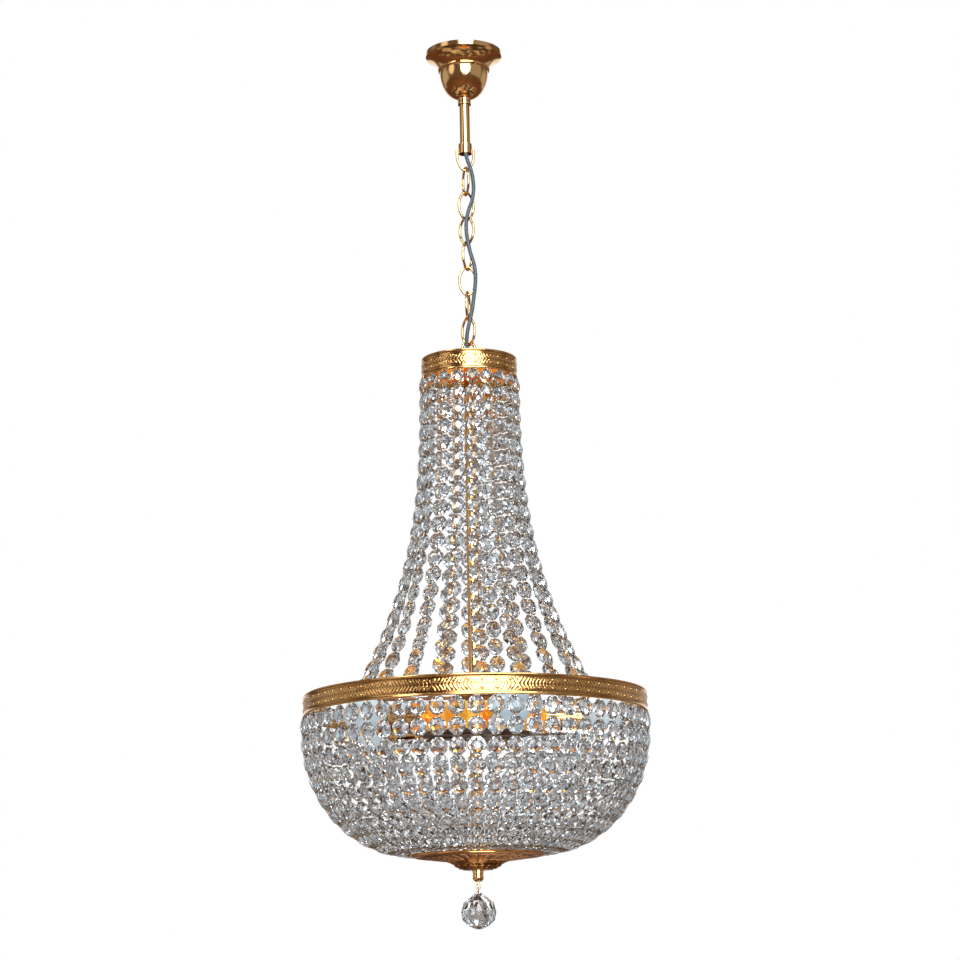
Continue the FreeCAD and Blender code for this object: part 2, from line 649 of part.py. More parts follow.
def bottom():
    hoop = turned((ring_radius - 2.6, ring_foot), (ring_radius - 0.8, ring_foot),
                  ((ring_radius, ring_foot + ring_wire / 2), (ring_radius - 0.8, ring_top)),
                  (ring_radius - 2.6, ring_top))
    save("bottom_ring", hoop)
    sheet = dish_sheet
    slope_z = ring_foot - dish_slope_drop
    boss = dish_boss_radius
    dish = turned(
        (ring_radius - 0.4, ring_foot), (ring_radius - 0.4, ring_foot - 0.6),
        (dish_slope_radius, slope_z), (dish_slope_radius - 2.5, slope_z - 1.6),
        ((boss + 7.0, dish_foot + 2.6), (boss, dish_foot)), (nipple_rod_radius, dish_foot),
        (nipple_rod_radius, dish_floor), (boss - 0.4, dish_floor),
        ((boss + 6.6, dish_foot + 3.9), (dish_slope_radius - 3.2, slope_z - 0.6)),
        (dish_slope_radius - 0.2, slope_z + sheet), (ring_radius - 2.6, ring_foot - 0.2),
        (ring_radius - 2.6, ring_foot))
    save("bottom_dish", dish)
    bore = tube_radius - tube_wall
    plug = rod(bore, dish_floor, dish_floor + plug_height).cut(
        rod(nipple_rod_radius, dish_floor - 1, dish_floor + plug_height + 1))
    save("tube_plug", plug)
    save("bottom_nipple", rod(nipple_rod_radius, washer_foot - finial_height / 2, dish_floor + plug_height + 4))
    washer = pipe(finial_washer_radius, nipple_rod_radius, washer_foot, dish_foot)
    save("finial_washer", washer)
    round_start = finial_foot + 4.5
    finial = turned((0, finial_foot), (stem_radius + 0.6, finial_foot),
                    ((finial_radius - 1.2, finial_foot + 1.6), (finial_radius, round_start)),
                    (finial_radius, washer_foot - 4.6), (finial_radius - 0.7, washer_foot - 4.0),
                    (finial_radius - 0.7, washer_foot - 3.2), (finial_radius, washer_foot - 2.6),
                    (finial_radius, washer_foot), (0, washer_foot))
    finial = finial.cut(rod(nipple_rod_radius, washer_foot - finial_height / 2, washer_foot + 1))
    stem = rod(stem_radius, stem_foot, finial_foot + 1)
    flat = block(stem_flat, 2 * stem_radius, stem_foot, finial_foot - 0.5)
    stem = stem.common(flat.fuse(rod(stem_radius, finial_foot - 0.5, finial_foot + 1)))
    finial = finial.fuse(stem)
    finial = finial.cut(Part.makeCylinder(stem_hole_radius, 4 * stem_radius,
                                          Vector(-2 * stem_radius, 0, stem_hole_z), Vector(1, 0, 0)))
    save("finial", finial)


def pendant():
    ring = Part.makeTorus(pendant_ring_radius, pendant_wire / 2, Vector(0, 0, pendant_ring_z), Vector(0, 1, 0))
    save("pendant_ring", ring)
    eye = Part.makeTorus(pin_eye_radius, pendant_wire / 2, Vector(0, 0, pin_eye_z), Vector(1, 0, 0))
    shank = rod(pendant_wire / 2, ball_top - 6, pin_eye_z - pin_eye_radius)
    save("ball_pin", eye.fuse(shank))
    save("crystal_ball", crystal_ball().cut(rod(pendant_wire / 2, ball_top - 6, ball_top + 1)))


def crystal_ball():
    """A ball cut with flat facets in rings, pointed at the top and flattened underneath."""
    rings = [(ball_neck + ball_radius, 1.3), (17.6, 8.6), (11.0, 17.6), (0.0, 20.5), (-9.0, 18.5), (-15.2, 12.4),
             (-19.4, 3.0)]
    sides = 16
    loops = []
    for height, radius in rings:
        turn = 0.5 if len(loops) % 2 else 0.0
        loops.append([Vector(radius * math.cos(2 * math.pi * (k + turn) / sides),
                             radius * math.sin(2 * math.pi * (k + turn) / sides), ball_z + height)
                      for k in range(sides)])
    faces = [Part.Face(Part.makePolygon(loops[0] + loops[0][:1])),
             Part.Face(Part.makePolygon(loops[-1] + loops[-1][:1]))]
    for level in range(len(rings) - 1):
        upper = loops[level]
        lower = loops[level + 1]
        step = level % 2
        for k in range(sides):
            after = (k + 1) % sides
            if step:
                corners = [(upper[k], lower[k], lower[after]), (upper[k], lower[after], upper[after])]
            else:
                corners = [(upper[k], lower[k], upper[after]), (upper[after], lower[k], lower[after])]
            for a, b, c in corners:
                faces.append(Part.Face(Part.makePolygon([a, b, c, a])))
    return Part.Solid(Part.Shell(faces))


# Crystals

def crystal(centre, along, outward, half_length, twist):
    """An octagon crystal with half of each of its two linking pins, pointed at front and back."""
    across = along.cross(outward)
    turn = math.radians(twist)
    side = across * math.cos(turn) + outward * math.sin(turn)
    face = outward * math.cos(turn) - across * math.sin(turn)
    half_width = crystal_width / 2
    half_side = crystal_side / 2
    outline = [along * half_length, side * half_width + along * half_side, side * half_width - along * half_side,
               along * -half_length, side * -half_width - along * half_side, side * -half_width + along * half_side]
    outline = [centre + point for point in outline]
    front = centre + face * (crystal_thick / 2)
    back = centre - face * (crystal_thick / 2)
    faces = []
    for k in range(6):
        a = outline[k]
        b = outline[(k + 1) % 6]
        faces.append(Part.Face(Part.makePolygon([a, b, front, a])))
        faces.append(Part.Face(Part.makePolygon([b, a, back, b])))
    return Part.Solid(Part.Shell(faces))


def measured(curve, count):
    """Splits a curve of (r, z) points into equal stretches: middle, direction and half length of each."""
    lengths = [0.0]
    for a, b in zip(curve, curve[1:]):
        lengths.append(lengths[-1] + math.hypot(b[0] - a[0], b[1] - a[1]))
    total = lengths[-1]

    def at(distance):
        k = 1
        while k < len(lengths) - 1 and lengths[k] < distance:
            k += 1
        share = (distance - lengths[k - 1]) / (lengths[k] - lengths[k - 1])
        a = curve[k - 1]
        b = curve[k]
        return a[0] + share * (b[0] - a[0]), a[1] + share * (b[1] - a[1])

    stretches = []
    for row in range(count):
        start = at(total * row / count)
        end = at(total * (row + 1) / count)
        middle = ((start[0] + end[0]) / 2, (start[1] + end[1]) / 2)
        span = math.hypot(end[0] - start[0], end[1] - start[1])
        stretches.append((middle, ((end[0] - start[0]) / span, (end[1] - start[1]) / span), span / 2))
    return stretches


def strand_crystal(stretch, angle, twist):
    (radius, z), (along_r, along_z), half = stretch
    out = Vector(math.sin(angle), -math.cos(angle), 0)
    centre = out * radius + UP * z
    along = out * along_r + UP * along_z
    outward = out * -along_z + UP * along_r
    return crystal(centre, along, outward, half - hang_gap / 2, twist)


def funnel_curve():
    """The funnel's strands hang straight under the crown and flare out to their ring."""
    top = (crown_radius - band_lip / 2 - band_sheet / 2, crown_foot)
    foot = (funnel_ring_radius, funnel_ring_z + funnel_ring_wire / 2)
    steps = 200
    return [(top[0] + (foot[0] - top[0]) * (k / steps) ** funnel_power, top[1] + (foot[1] - top[1]) * k / steps)
            for k in range(steps + 1)]


def basket_curve():
    """The basket's strands hang straight, then follow a quarter of an ellipse to the bottom ring."""
    top = main_radius - band_lip / 2 - band_sheet / 2
    foot = ring_radius - 0.2
    bend = main_foot - basket_straight
    low = ring_top + basket_lift
    steps = 200
    curve = [(top, main_foot)]
    for k in range(steps + 1):
        angle = math.pi / 2 * k / steps
        curve.append((foot + (top - foot) * math.cos(angle), bend + (low - bend) * math.sin(angle)))
    return curve


def hang_strands(name, curve, count, rows, first, twist_at):
    """Saves a ring of strands, in groups of neighbours."""
    stretches = measured(curve, rows)
    step = 360.0 / count
    groups = [[] for _ in range(strand_groups)]
    for strand in range(count):
        angle = math.radians(first + step * strand)
        lean = 1 if strand % 2 else -1
        groups[strand * strand_groups // count] += [
            strand_crystal(stretch, angle, lean * twist_at(stretch)) for stretch in stretches]
    for number, solids in enumerate(groups):
        save(name + "_" + str(number + 1), *solids)


def strands():
    hang_strands("funnel_strands", funnel_curve(), funnel_strands, funnel_rows, funnel_turn, lambda stretch: 0.0)

    def basket_twist(stretch):
        """Where the strands crowd together, neighbours lean to alternate sides until their edges clear."""
        (radius, _), (along_r, along_z), _ = stretch
        lean = 0.0
        for _ in range(6):
            inmost = radius + crystal_side / 2 * along_r + crystal_width / 2 * math.sin(lean) * along_z
            share = (2 * math.pi / basket_strands * inmost - crystal_room) / crystal_width
            lean = math.acos(min(share, 1.0))
        return math.degrees(lean)

    hang_strands("basket_strands", basket_curve(), basket_strands, basket_rows, basket_turn, basket_twist)


# Supply cable

cable_sin = math.sin(math.radians(spider_turn))
cable_cos = math.cos(math.radians(spider_turn))
lamp_cable_z = body_top - lamp_cable_drop
cable_route = [
    (terminal_x, 0.0, -strap_drop - terminal_height), (terminal_x, 0.0, -26.5), (11.8, 0.1, -34.0), (4.4, 0.2, -42.5),
    (0.4, 0.7, -53.0), (0.0, 0.9, -74.0), (0.0, -0.6, -98.0), (0.0, -2.5, -115.0), (0.1, -4.3, -125.0),
    (1.2, -4.7, -136.0), (6.0, -5.2, -149.0), (8.8, -3.4, -162.0),
    (9.5, -2.0, -176.0), (7.4, -2.6, -190.0), (2.8, -5.0, -202.0), (-0.2, -6.3, -215.0), (-0.7, -5.6, -229.0),
    (1.3, -6.4, -243.0), (3.8, -5.2, -256.0), (8.0, -4.8, -269.0), (9.9, -5.0, -283.0), (9.2, -4.8, -298.0),
    (7.0, -4.2, -313.0), (5.0, -5.2, -328.0), (2.2, -8.7, -341.0), (-1.2, -7.9, -354.0), (-2.6, -5.6, -367.0),
    (-1.0, -2.7, -380.0), (0.0, -0.6, -394.0), (0.3, 0.4, -420.0), (-0.4, -0.4, body_top + 16.0),
    (0.5 * cable_sin, -0.5 * cable_cos, body_top + 4.0),
    (3.5 * cable_sin, -3.5 * cable_cos, body_top - 7.0),
    (12.0 * cable_sin, -12.0 * cable_cos, lamp_cable_z + 0.6),
    (22.0 * cable_sin, -22.0 * cable_cos, lamp_cable_z),
    (lamp_cable_reach * cable_sin, -lamp_cable_reach * cable_cos, lamp_cable_z)]


def supply_cable():
    points = [Vector(*point) for point in cable_route]
    edges = []
    here = points[0]
    radii = []
    for before, corner, after in zip(points, points[1:], points[2:]):
        back = (before - corner).normalize()
        ahead = (after - corner).normalize()
        turn = math.pi - back.getAngle(ahead)
        short = min((before - corner).Length, (after - corner).Length)
        reach = 0.45 * short
        radii.append(reach / math.tan(turn / 2))
        start = corner + back * reach
        end = corner + ahead * reach
        bisector = (back + ahead).normalize()
        depth = radii[-1] / math.cos(turn / 2) - radii[-1]
        edges.append(Part.makeLine(here, start))
        edges.append(Part.Arc(start, corner + bisector * depth, end).toShape())
        here = end
    edges.append(Part.makeLine(here, points[-1]))
    length = sum(edge.Length for edge in edges)
    cable = bent_wire(edges, 2 * cable_radius, points[0], points[1] - points[0])
    save("supply_cable", cable)
    print("cable radii", [round(radius, 1) for radius in radii])
    print("cable length", round(length, 1), "volume over section times length",
          round(cable.Volume / (math.pi * cable_radius ** 2 * length), 4))


os.makedirs("parts", exist_ok=True)
ceiling_bracket()
bracket_nuts()
terminal_block()
down_tube()
tube_coupling()
canopy()
canopy_collar()
chain()
frame_loop()
crown()
centre_tube()
main_ring()
lamp_body()
lamp_parts()
lamp_terminal()
bottom()
pendant()
strands()
supply_cable()
print("crown top", round(crown_top, 1), "main top", round(main_top, 1), "body top", round(body_top, 1),
      "ring top", round(ring_top, 1), "finial foot", round(finial_foot, 1), "ball", round(ball_z, 1),
      "stem hole", round(stem_hole_z, 2), "pendant ring", round(pendant_ring_z, 2), "bar", round(bar_z, 2),
      "last foot", round(last_foot, 2), "link pitch", round(link_pitch, 2), "first foot", round(first_foot, 2))
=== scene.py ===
import json
import math
import random

import bmesh
import bpy
from mathutils import Matrix, Vector


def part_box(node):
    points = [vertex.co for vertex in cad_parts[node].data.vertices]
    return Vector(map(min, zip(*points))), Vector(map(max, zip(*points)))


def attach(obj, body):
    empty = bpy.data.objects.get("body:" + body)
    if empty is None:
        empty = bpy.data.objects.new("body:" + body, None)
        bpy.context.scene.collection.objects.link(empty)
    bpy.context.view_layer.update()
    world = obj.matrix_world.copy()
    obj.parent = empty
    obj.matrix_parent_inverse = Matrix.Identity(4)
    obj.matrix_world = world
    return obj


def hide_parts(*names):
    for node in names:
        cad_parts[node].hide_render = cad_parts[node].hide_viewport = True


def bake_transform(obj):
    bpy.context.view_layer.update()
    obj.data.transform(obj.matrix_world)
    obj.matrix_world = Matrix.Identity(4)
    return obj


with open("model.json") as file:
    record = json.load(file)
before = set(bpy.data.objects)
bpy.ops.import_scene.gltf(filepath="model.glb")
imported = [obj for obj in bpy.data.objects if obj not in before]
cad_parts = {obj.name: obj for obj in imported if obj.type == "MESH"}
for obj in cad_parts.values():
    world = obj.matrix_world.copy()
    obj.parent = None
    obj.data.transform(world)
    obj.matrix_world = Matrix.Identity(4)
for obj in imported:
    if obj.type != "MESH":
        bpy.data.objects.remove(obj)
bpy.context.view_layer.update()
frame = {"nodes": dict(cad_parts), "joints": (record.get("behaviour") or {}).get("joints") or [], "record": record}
print("frame loaded with", len(frame["nodes"]), "nodes")


# camera, at the photograph's angle

cameraValues = {
    "place": (0.0, -3.0096, -1.1736),
    "lens": 97.5,           # mm
    "sensor": 36.0,         # mm
    "pitch": 0.2091,        # radians, upwards
    "yaw": 0.0035,
    "roll": -0.0186,
}


def makeCamera(values):
    data = bpy.data.cameras.new("camera")
    data.lens = values["lens"]
    data.sensor_width = values["sensor"]
    camera = bpy.data.objects.new("camera", data)
    bpy.context.collection.objects.link(camera)
    yaw, pitch, roll = values["yaw"], values["pitch"], values["roll"]
    forward = Vector((math.sin(yaw) * math.cos(pitch), math.cos(yaw) * math.cos(pitch), math.sin(pitch)))
    level = Vector((math.cos(yaw), -math.sin(yaw), 0))
    upright = level.cross(forward)
    right = level * math.cos(roll) + upright * math.sin(roll)
    up = upright * math.cos(roll) - level * math.sin(roll)
    turn = Matrix((right, up, -forward)).transposed()
    camera.matrix_world = Matrix.Translation(values["place"]) @ turn.to_4x4()
    bpy.context.scene.camera = camera


makeCamera(cameraValues)
print("camera made")


# small helpers

weldGap = 0.000002          # metres; vertices nearer than this are one


# Turns a bmesh into a finished piece that rides on a body.
def addPiece(name, bm, materials, body, replaced=(), smooth=None):
    mesh = bpy.data.meshes.new(name)
    bm.to_mesh(mesh)
    bm.free()
    for material in materials:
        mesh.materials.append(material)
    if smooth is not None:
        for face in mesh.polygons:
            face.use_smooth = True
        mesh.set_sharp_from_angle(angle=math.radians(smooth))
    piece = bpy.data.objects.new(name, mesh)
    bpy.context.collection.objects.link(piece)
    if body:
        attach(piece, body)
    if replaced:
        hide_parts(*replaced)
    return piece


# A node's mesh as one joined bmesh. The node itself is left alone.
def mergedCopy(node):
    bm = bmesh.new()
    bm.from_mesh(frame["nodes"][node].data)
    bmesh.ops.remove_doubles(bm, verts=bm.verts, dist=weldGap)
    bmesh.ops.recalc_face_normals(bm, faces=bm.faces)
    return bm


# The vertices of each separate solid.
def islands(bm):
    seen = set()
    groups = []
    for start in bm.verts:
        if start in seen:
            continue
        seen.add(start)
        group = [start]
        for vert in group:
            for edge in vert.link_edges:
                other = edge.other_vert(vert)
                if other not in seen:
                    seen.add(other)
                    group.append(other)
        groups.append(group)
    return groups


# 0 below low, 1 above high, a smooth step between.
def steady(value, low, high):
    share = min(max((value - low) / (high - low), 0.0), 1.0)
    return share * share * (3 - 2 * share)


# shared surface effects

effectValues = {
    "toneDetail": 4.0,
    "toneSpread": (0.35, 0.65),     # part of the noise that goes from one tone to the other
    "wearDetail": 3.0,
    "wearSpread": (0.3, 0.7),
    "bumpDistance": 0.0002,
}
plainValues = {             # what a finish has where its own values say nothing else
    "metallic": 0.0,
    "coat": 0.0,
    "coatRoughness": 0.05,
    "toneAmount": 0.5,
    "wearScale": 250.0,
    "paintedGlow": 0.0,
    "bump": 0.0,
}


# Gives a socket another socket's colour, or a plain one.
def feed(links, color, socket):
    if isinstance(color, bpy.types.NodeSocket):
        links.new(color, socket)
    else:
        socket.default_value = (*color, 1)


# From one colour to another; each is a socket or a plain colour.
def addMix(nodes, links, factor, first, second, clamped=True):
    mix = nodes.new("ShaderNodeMix")
    mix.data_type = "RGBA"
    mix.clamp_factor = clamped
    links.new(factor, mix.inputs["Factor"])
    feed(links, first, mix.inputs["A"])
    feed(links, second, mix.inputs["B"])
    return mix.outputs["Result"]


# 0 at the first end of the spread, 1 at the second.
def addSpread(nodes, links, value, ends):
    spread = nodes.new("ShaderNodeMapRange")
    spread.inputs["From Min"].default_value = ends[0]
    spread.inputs["From Max"].default_value = ends[1]
    links.new(value, spread.inputs["Value"])
    return spread


def addNoise(nodes, links, place, scale, detail):
    noise = nodes.new("ShaderNodeTexNoise")
    noise.inputs["Detail"].default_value = detail
    links.new(place, noise.inputs["Vector"])
    if isinstance(scale, bpy.types.NodeSocket):
        links.new(scale, noise.inputs["Scale"])
    else:
        noise.inputs["Scale"].default_value = scale
    return noise.outputs["Fac"]


# Colours or strengths from a value, with stops of a place and a colour each.
def addRamp(nodes, links, value, stops):
    ramp = nodes.new("ShaderNodeValToRGB")
    links.new(value, ramp.inputs["Fac"])
    elements = ramp.color_ramp.elements
    while len(elements) < len(stops):
        elements.new(1.0)
    for element, (spot, color) in zip(elements, stops):
        element.position = spot
        element.color = (*color, 1)
    return ramp.outputs["Color"]


def newGroup(name, inputs, outputs):
    group = bpy.data.node_groups.new(name, "ShaderNodeTree")
    for label, kind, value in inputs:
        socket = group.interface.new_socket(label, in_out="INPUT", socket_type=kind)
        socket.default_value = value
    for label, kind in outputs:
        group.interface.new_socket(label, in_out="OUTPUT", socket_type=kind)
    start = group.nodes.new("NodeGroupInput")
    end = group.nodes.new("NodeGroupOutput")
    return group, start, end


# A metal or glaze whose colour drifts a little between two tones, in cloudy patches.
def makeToneGroup(values):
    group, start, end = newGroup(
        "tone drift",
        [("Tone", "NodeSocketColor", (1, 1, 1, 1)), ("Shade", "NodeSocketColor", (0, 0, 0, 1)),
         ("Scale", "NodeSocketFloat", 30.0), ("Amount", "NodeSocketFloat", 0.5)],
        [("Color", "NodeSocketColor")])
    nodes, links = group.nodes, group.links
    place = nodes.new("ShaderNodeTexCoord")
    clouds = addNoise(nodes, links, place.outputs["Object"], start.outputs["Scale"], values["toneDetail"])
    spread = addSpread(nodes, links, clouds, values["toneSpread"])
    scaled = nodes.new("ShaderNodeMath")
    scaled.operation = "MULTIPLY"
    links.new(spread.outputs["Result"], scaled.inputs[0])
    links.new(start.outputs["Amount"], scaled.inputs[1])
    drift = addMix(nodes, links, scaled.outputs["Value"], start.outputs["Tone"], start.outputs["Shade"])
    links.new(drift, end.inputs["Color"])
    return group


# Fine rubbing and dust: a roughness between two values, and a height for a faint bump.
def makeWearGroup(values):
    group, start, end = newGroup(
        "fine wear",
        [("Scale", "NodeSocketFloat", 200.0), ("Smoothest", "NodeSocketFloat", 0.1),
         ("Roughest", "NodeSocketFloat", 0.3)],
        [("Roughness", "NodeSocketFloat"), ("Height", "NodeSocketFloat")])
    nodes, links = group.nodes, group.links
    place = nodes.new("ShaderNodeTexCoord")
    rubbing = addNoise(nodes, links, place.outputs["Object"], start.outputs["Scale"], values["wearDetail"])
    spread = addSpread(nodes, links, rubbing, values["wearSpread"])
    links.new(start.outputs["Smoothest"], spread.inputs["To Min"])
    links.new(start.outputs["Roughest"], spread.inputs["To Max"])
    links.new(spread.outputs["Result"], end.inputs["Roughness"])
    links.new(rubbing, end.inputs["Height"])
    return group


toneGroup = makeToneGroup(effectValues)
wearGroup = makeWearGroup(effectValues)


def newMaterial(name):
    material = bpy.data.materials.new(name)
    material.use_nodes = True
    nodes = material.node_tree.nodes
    return material, nodes, material.node_tree.links, nodes["Principled BSDF"]


# The drifting colour of a material, as a socket.
def addTone(nodes, values):
    tone = nodes.new("ShaderNodeGroup")
    tone.node_tree = toneGroup
    tone.inputs["Tone"].default_value = (*values["tone"], 1)
    tone.inputs["Shade"].default_value = (*values["shade"], 1)
    tone.inputs["Scale"].default_value = values["toneScale"]
    tone.inputs["Amount"].default_value = values["toneAmount"]
    return tone.outputs["Color"]


# A material with drifting colour and fine wear, from one dictionary of values.
def makeFinish(name, ownValues):
    values = {**plainValues, **ownValues}
    material, nodes, links, shader = newMaterial(name)
    shader.inputs["Metallic"].default_value = values["metallic"]
    shader.inputs["Coat Weight"].default_value = values["coat"]
    shader.inputs["Coat Roughness"].default_value = values["coatRoughness"]
    tone = addTone(nodes, values)
    wear = nodes.new("ShaderNodeGroup")
    wear.node_tree = wearGroup
    wear.inputs["Scale"].default_value = values["wearScale"]
    wear.inputs["Smoothest"].default_value = values["roughness"][0]
    wear.inputs["Roughest"].default_value = values["roughness"][1]
    links.new(tone, shader.inputs["Base Color"])
    # painted glow: the finish gives off its own colour as light
    if values["paintedGlow"]:
        links.new(tone, shader.inputs["Emission Color"])
        shader.inputs["Emission Strength"].default_value = values["paintedGlow"]
    links.new(wear.outputs["Roughness"], shader.inputs["Roughness"])
    if values["bump"]:
        bump = nodes.new("ShaderNodeBump")
        bump.inputs["Strength"].default_value = values["bump"]
        bump.inputs["Distance"].default_value = effectValues["bumpDistance"]
        links.new(wear.outputs["Height"], bump.inputs["Height"])
        links.new(bump.outputs["Normal"], shader.inputs["Normal"])
    return material


brassValues = {
    "metallic": 1.0,
    "tone": (0.90, 0.56, 0.25),
    "shade": (0.76, 0.41, 0.15),
    "toneScale": 24.0,
    "toneAmount": 0.55,
    "roughness": (0.07, 0.17),
    "wearScale": 220.0,
    "bump": 0.04,
}
paintedGlowBrassValues = {         # pieces behind the crystals, whose walls mirror one another: brass painted brighter and more orange, with a painted glow
    "metallic": 0.75,
    "tone": (1.0, 0.58, 0.09),
    "shade": (0.98, 0.34, 0.03),
    "paintedGlow": 0.36,           # painted glow, for the light of the lamps thrown from wall to wall
    "toneScale": 30.0,
    "toneAmount": 0.8,
    "roughness": (0.10, 0.20),
    "wearScale": 220.0,
    "bump": 0.04,
}
pinBrassValues = {          # thin wire, dulled
    "metallic": 1.0,
    "tone": (0.52, 0.37, 0.21),
    "shade": (0.36, 0.25, 0.14),
    "toneScale": 60.0,
    "roughness": (0.18, 0.30),
}
stampedValues = {
    "metallic": 1.0,
    "tone": (0.94, 0.56, 0.22),
    "shade": (0.76, 0.39, 0.13),
    # painted shade, at the bottom of the recesses
    "recessShade": (0.24, 0.10, 0.03),
    "recessShadeReach": (0.05, 0.7),     # relief heights, from full painted shade to none
    "toneScale": 40.0,
    "toneAmount": 0.6,
    "roughness": (0.11, 0.20),
    "wearScale": 400.0,
    "bump": 0.06,
}
# the dish's copy of stamped brass, painted darker and more orange for the dark floor that it mirrors, with deeper
# painted shade in its recesses
shadedDishBrassValues = dict(stampedValues, tone=(0.98, 0.48, 0.15), shade=(0.66, 0.27, 0.07),
                       recessShade=(0.10, 0.03, 0.01))
zincValues = {
    "metallic": 1.0,
    "tone": (0.62, 0.63, 0.64),
    "shade": (0.46, 0.47, 0.48),
    "toneScale": 90.0,
    "roughness": (0.25, 0.42),
    "bump": 0.1,
}
bronzeValues = {
    "metallic": 0.6,
    "tone": (0.22, 0.095, 0.04),
    "shade": (0.12, 0.05, 0.022),
    "toneScale": 50.0,
    "roughness": (0.32, 0.5),
    "bump": 0.12,
}
opalValues = {
    "tone": (0.76, 0.91, 1.0),
    "shade": (0.66, 0.84, 0.97),
    "toneScale": 14.0,
    "roughness": (0.18, 0.26),
    "coat": 0.5,
    "coatRoughness": 0.06,
    "paintedGlow": 0.22,           # painted glow, for the light that comes through from behind
}
sheathValues = {
    "tone": (0.090, 0.120, 0.148),
    "shade": (0.055, 0.076, 0.096),
    "toneScale": 60.0,
    "roughness": (0.30, 0.42),
    "bump": 0.06,
}
terminalValues = {
    "tone": (0.86, 0.85, 0.81),
    "shade": (0.78, 0.76, 0.70),
    "toneScale": 80.0,
    "roughness": (0.38, 0.5),
    "bump": 0.06,
}
holderValues = {
    "tone": (0.83, 0.80, 0.72),
    "shade": (0.72, 0.68, 0.58),
    "toneScale": 80.0,
    "roughness": (0.4, 0.55),
    "bump": 0.06,
}
crystalGlassValues = {
    "tone": (0.95, 0.965, 0.98),
    "shade": (0.912, 0.9264, 0.9408),
    "toneScale": 120.0,
    "toneAmount": 0.5,
    "ior": 1.50,
    "roughness": 0.0,
}
paintedUndersideShadeValues = {         # painted shade for the lamp body's underside
    "color": (0.048, 0.020, 0.0088),
    "reach": (-0.7, -0.9),      # height of the normal, where the painted shade starts and where it is full
    "roughness": 0.6,
}


# Stamped brass with painted shade in its recesses: what the relief attribute calls deep is painted dark, what it
# calls high is bright.
def makeStamped(name, values):
    material = makeFinish(name, values)
    nodes, links = material.node_tree.nodes, material.node_tree.links
    color = nodes["Principled BSDF"].inputs["Base Color"]
    tone = color.links[0].from_socket
    relief = nodes.new("ShaderNodeAttribute")
    relief.attribute_name = "relief"
    spread = addSpread(nodes, links, relief.outputs["Fac"], values["recessShadeReach"])
    links.new(addMix(nodes, links, spread.outputs["Result"], values["recessShade"], tone), color)
    return material


# Painted shade on the faces that look down: there the finish turns dark, dull and less metallic.
def paintShadeBelow(material, values):
    nodes, links = material.node_tree.nodes, material.node_tree.links
    shader = nodes["Principled BSDF"]
    place = nodes.new("ShaderNodeTexCoord")
    split = nodes.new("ShaderNodeSeparateXYZ")
    links.new(place.outputs["Normal"], split.inputs["Vector"])
    # share of painted shade, by how far each face looks down
    below = addSpread(nodes, links, split.outputs["Z"], values["reach"]).outputs["Result"]
    for name in ("Base Color", "Emission Color"):
        bright = shader.inputs[name].links[0].from_socket
        links.new(addMix(nodes, links, below, bright, values["color"]), shader.inputs[name])
    metal = addSpread(nodes, links, below, (0.0, 1.0))
    metal.inputs["To Min"].default_value = shader.inputs["Metallic"].default_value
    metal.inputs["To Max"].default_value = 0.0
    links.new(metal.outputs["Result"], shader.inputs["Metallic"])
    rough = nodes.new("ShaderNodeMix")
    rough.inputs["B"].default_value = values["roughness"]
    links.new(below, rough.inputs["Factor"])
    links.new(shader.inputs["Roughness"].links[0].from_socket, rough.inputs["A"])
    links.new(rough.outputs["Result"], shader.inputs["Roughness"])


# Clear cut crystal with a faint cool drift in its colour.
def makeGlass(name, values):
    material, nodes, links, shader = newMaterial(name)
    shader.inputs["Transmission Weight"].default_value = 1.0
    shader.inputs["Roughness"].default_value = values["roughness"]
    shader.inputs["IOR"].default_value = values["ior"]
    links.new(addTone(nodes, values), shader.inputs["Base Color"])
    return material


brass = makeFinish("polished brass", brassValues)
paintedGlowBrass = makeFinish("brass with painted glow", paintedGlowBrassValues)
# the lamp body's brass: painted glow, and painted shade on its underside
bodyBrassWithPaintedShade = makeFinish("lamp body brass, shade painted below", paintedGlowBrassValues)
paintShadeBelow(bodyBrassWithPaintedShade, paintedUndersideShadeValues)
pinBrass = makeFinish("pin brass", pinBrassValues)
stampedBrass = makeStamped("stamped brass", stampedValues)
shadedDishBrass = makeStamped("dish brass, painted darker", shadedDishBrassValues)
zincSteel = makeFinish("zinc-plated steel", zincValues)
darkBronze = makeFinish("dark bronze", bronzeValues)
opalGlass = makeFinish("opal glass", opalValues)
cableSheath = makeFinish("cable sheath", sheathValues)
terminalPlastic = makeFinish("terminal plastic", terminalValues)
holderPlastic = makeFinish("holder plastic", holderValues)
cutCrystal = makeGlass("cut crystal", crystalGlassValues)
finishOfSlot = {
    "brass": brass, "stamped_brass": stampedBrass, "zinc_steel": zincSteel, "dark_metal": darkBronze,
    "opal_glass": opalGlass, "cable_sheath": cableSheath, "terminal_plastic": terminalPlastic,
    "holder_plastic": holderPlastic, "crystal": cutCrystal,
}
# the lamp body, its lid, its cups and the crown plate take the brass with painted glow
finishOfNode = {
    "lamp_body": bodyBrassWithPaintedShade, "lamp_body_lid": paintedGlowBrass, "lamp_cups": paintedGlowBrass, "crown_plate": paintedGlowBrass,
}
slotOfNode = {part["node"]: part["material_slot"] for part in frame["record"]["subparts"]}
for nodeName, node in frame["nodes"].items():
    for slot in node.material_slots:
        slot.material = finishOfNode.get(nodeName, finishOfSlot[slotOfNode[nodeName]])
print("finishes made:", len(bpy.data.materials))


# supply cable

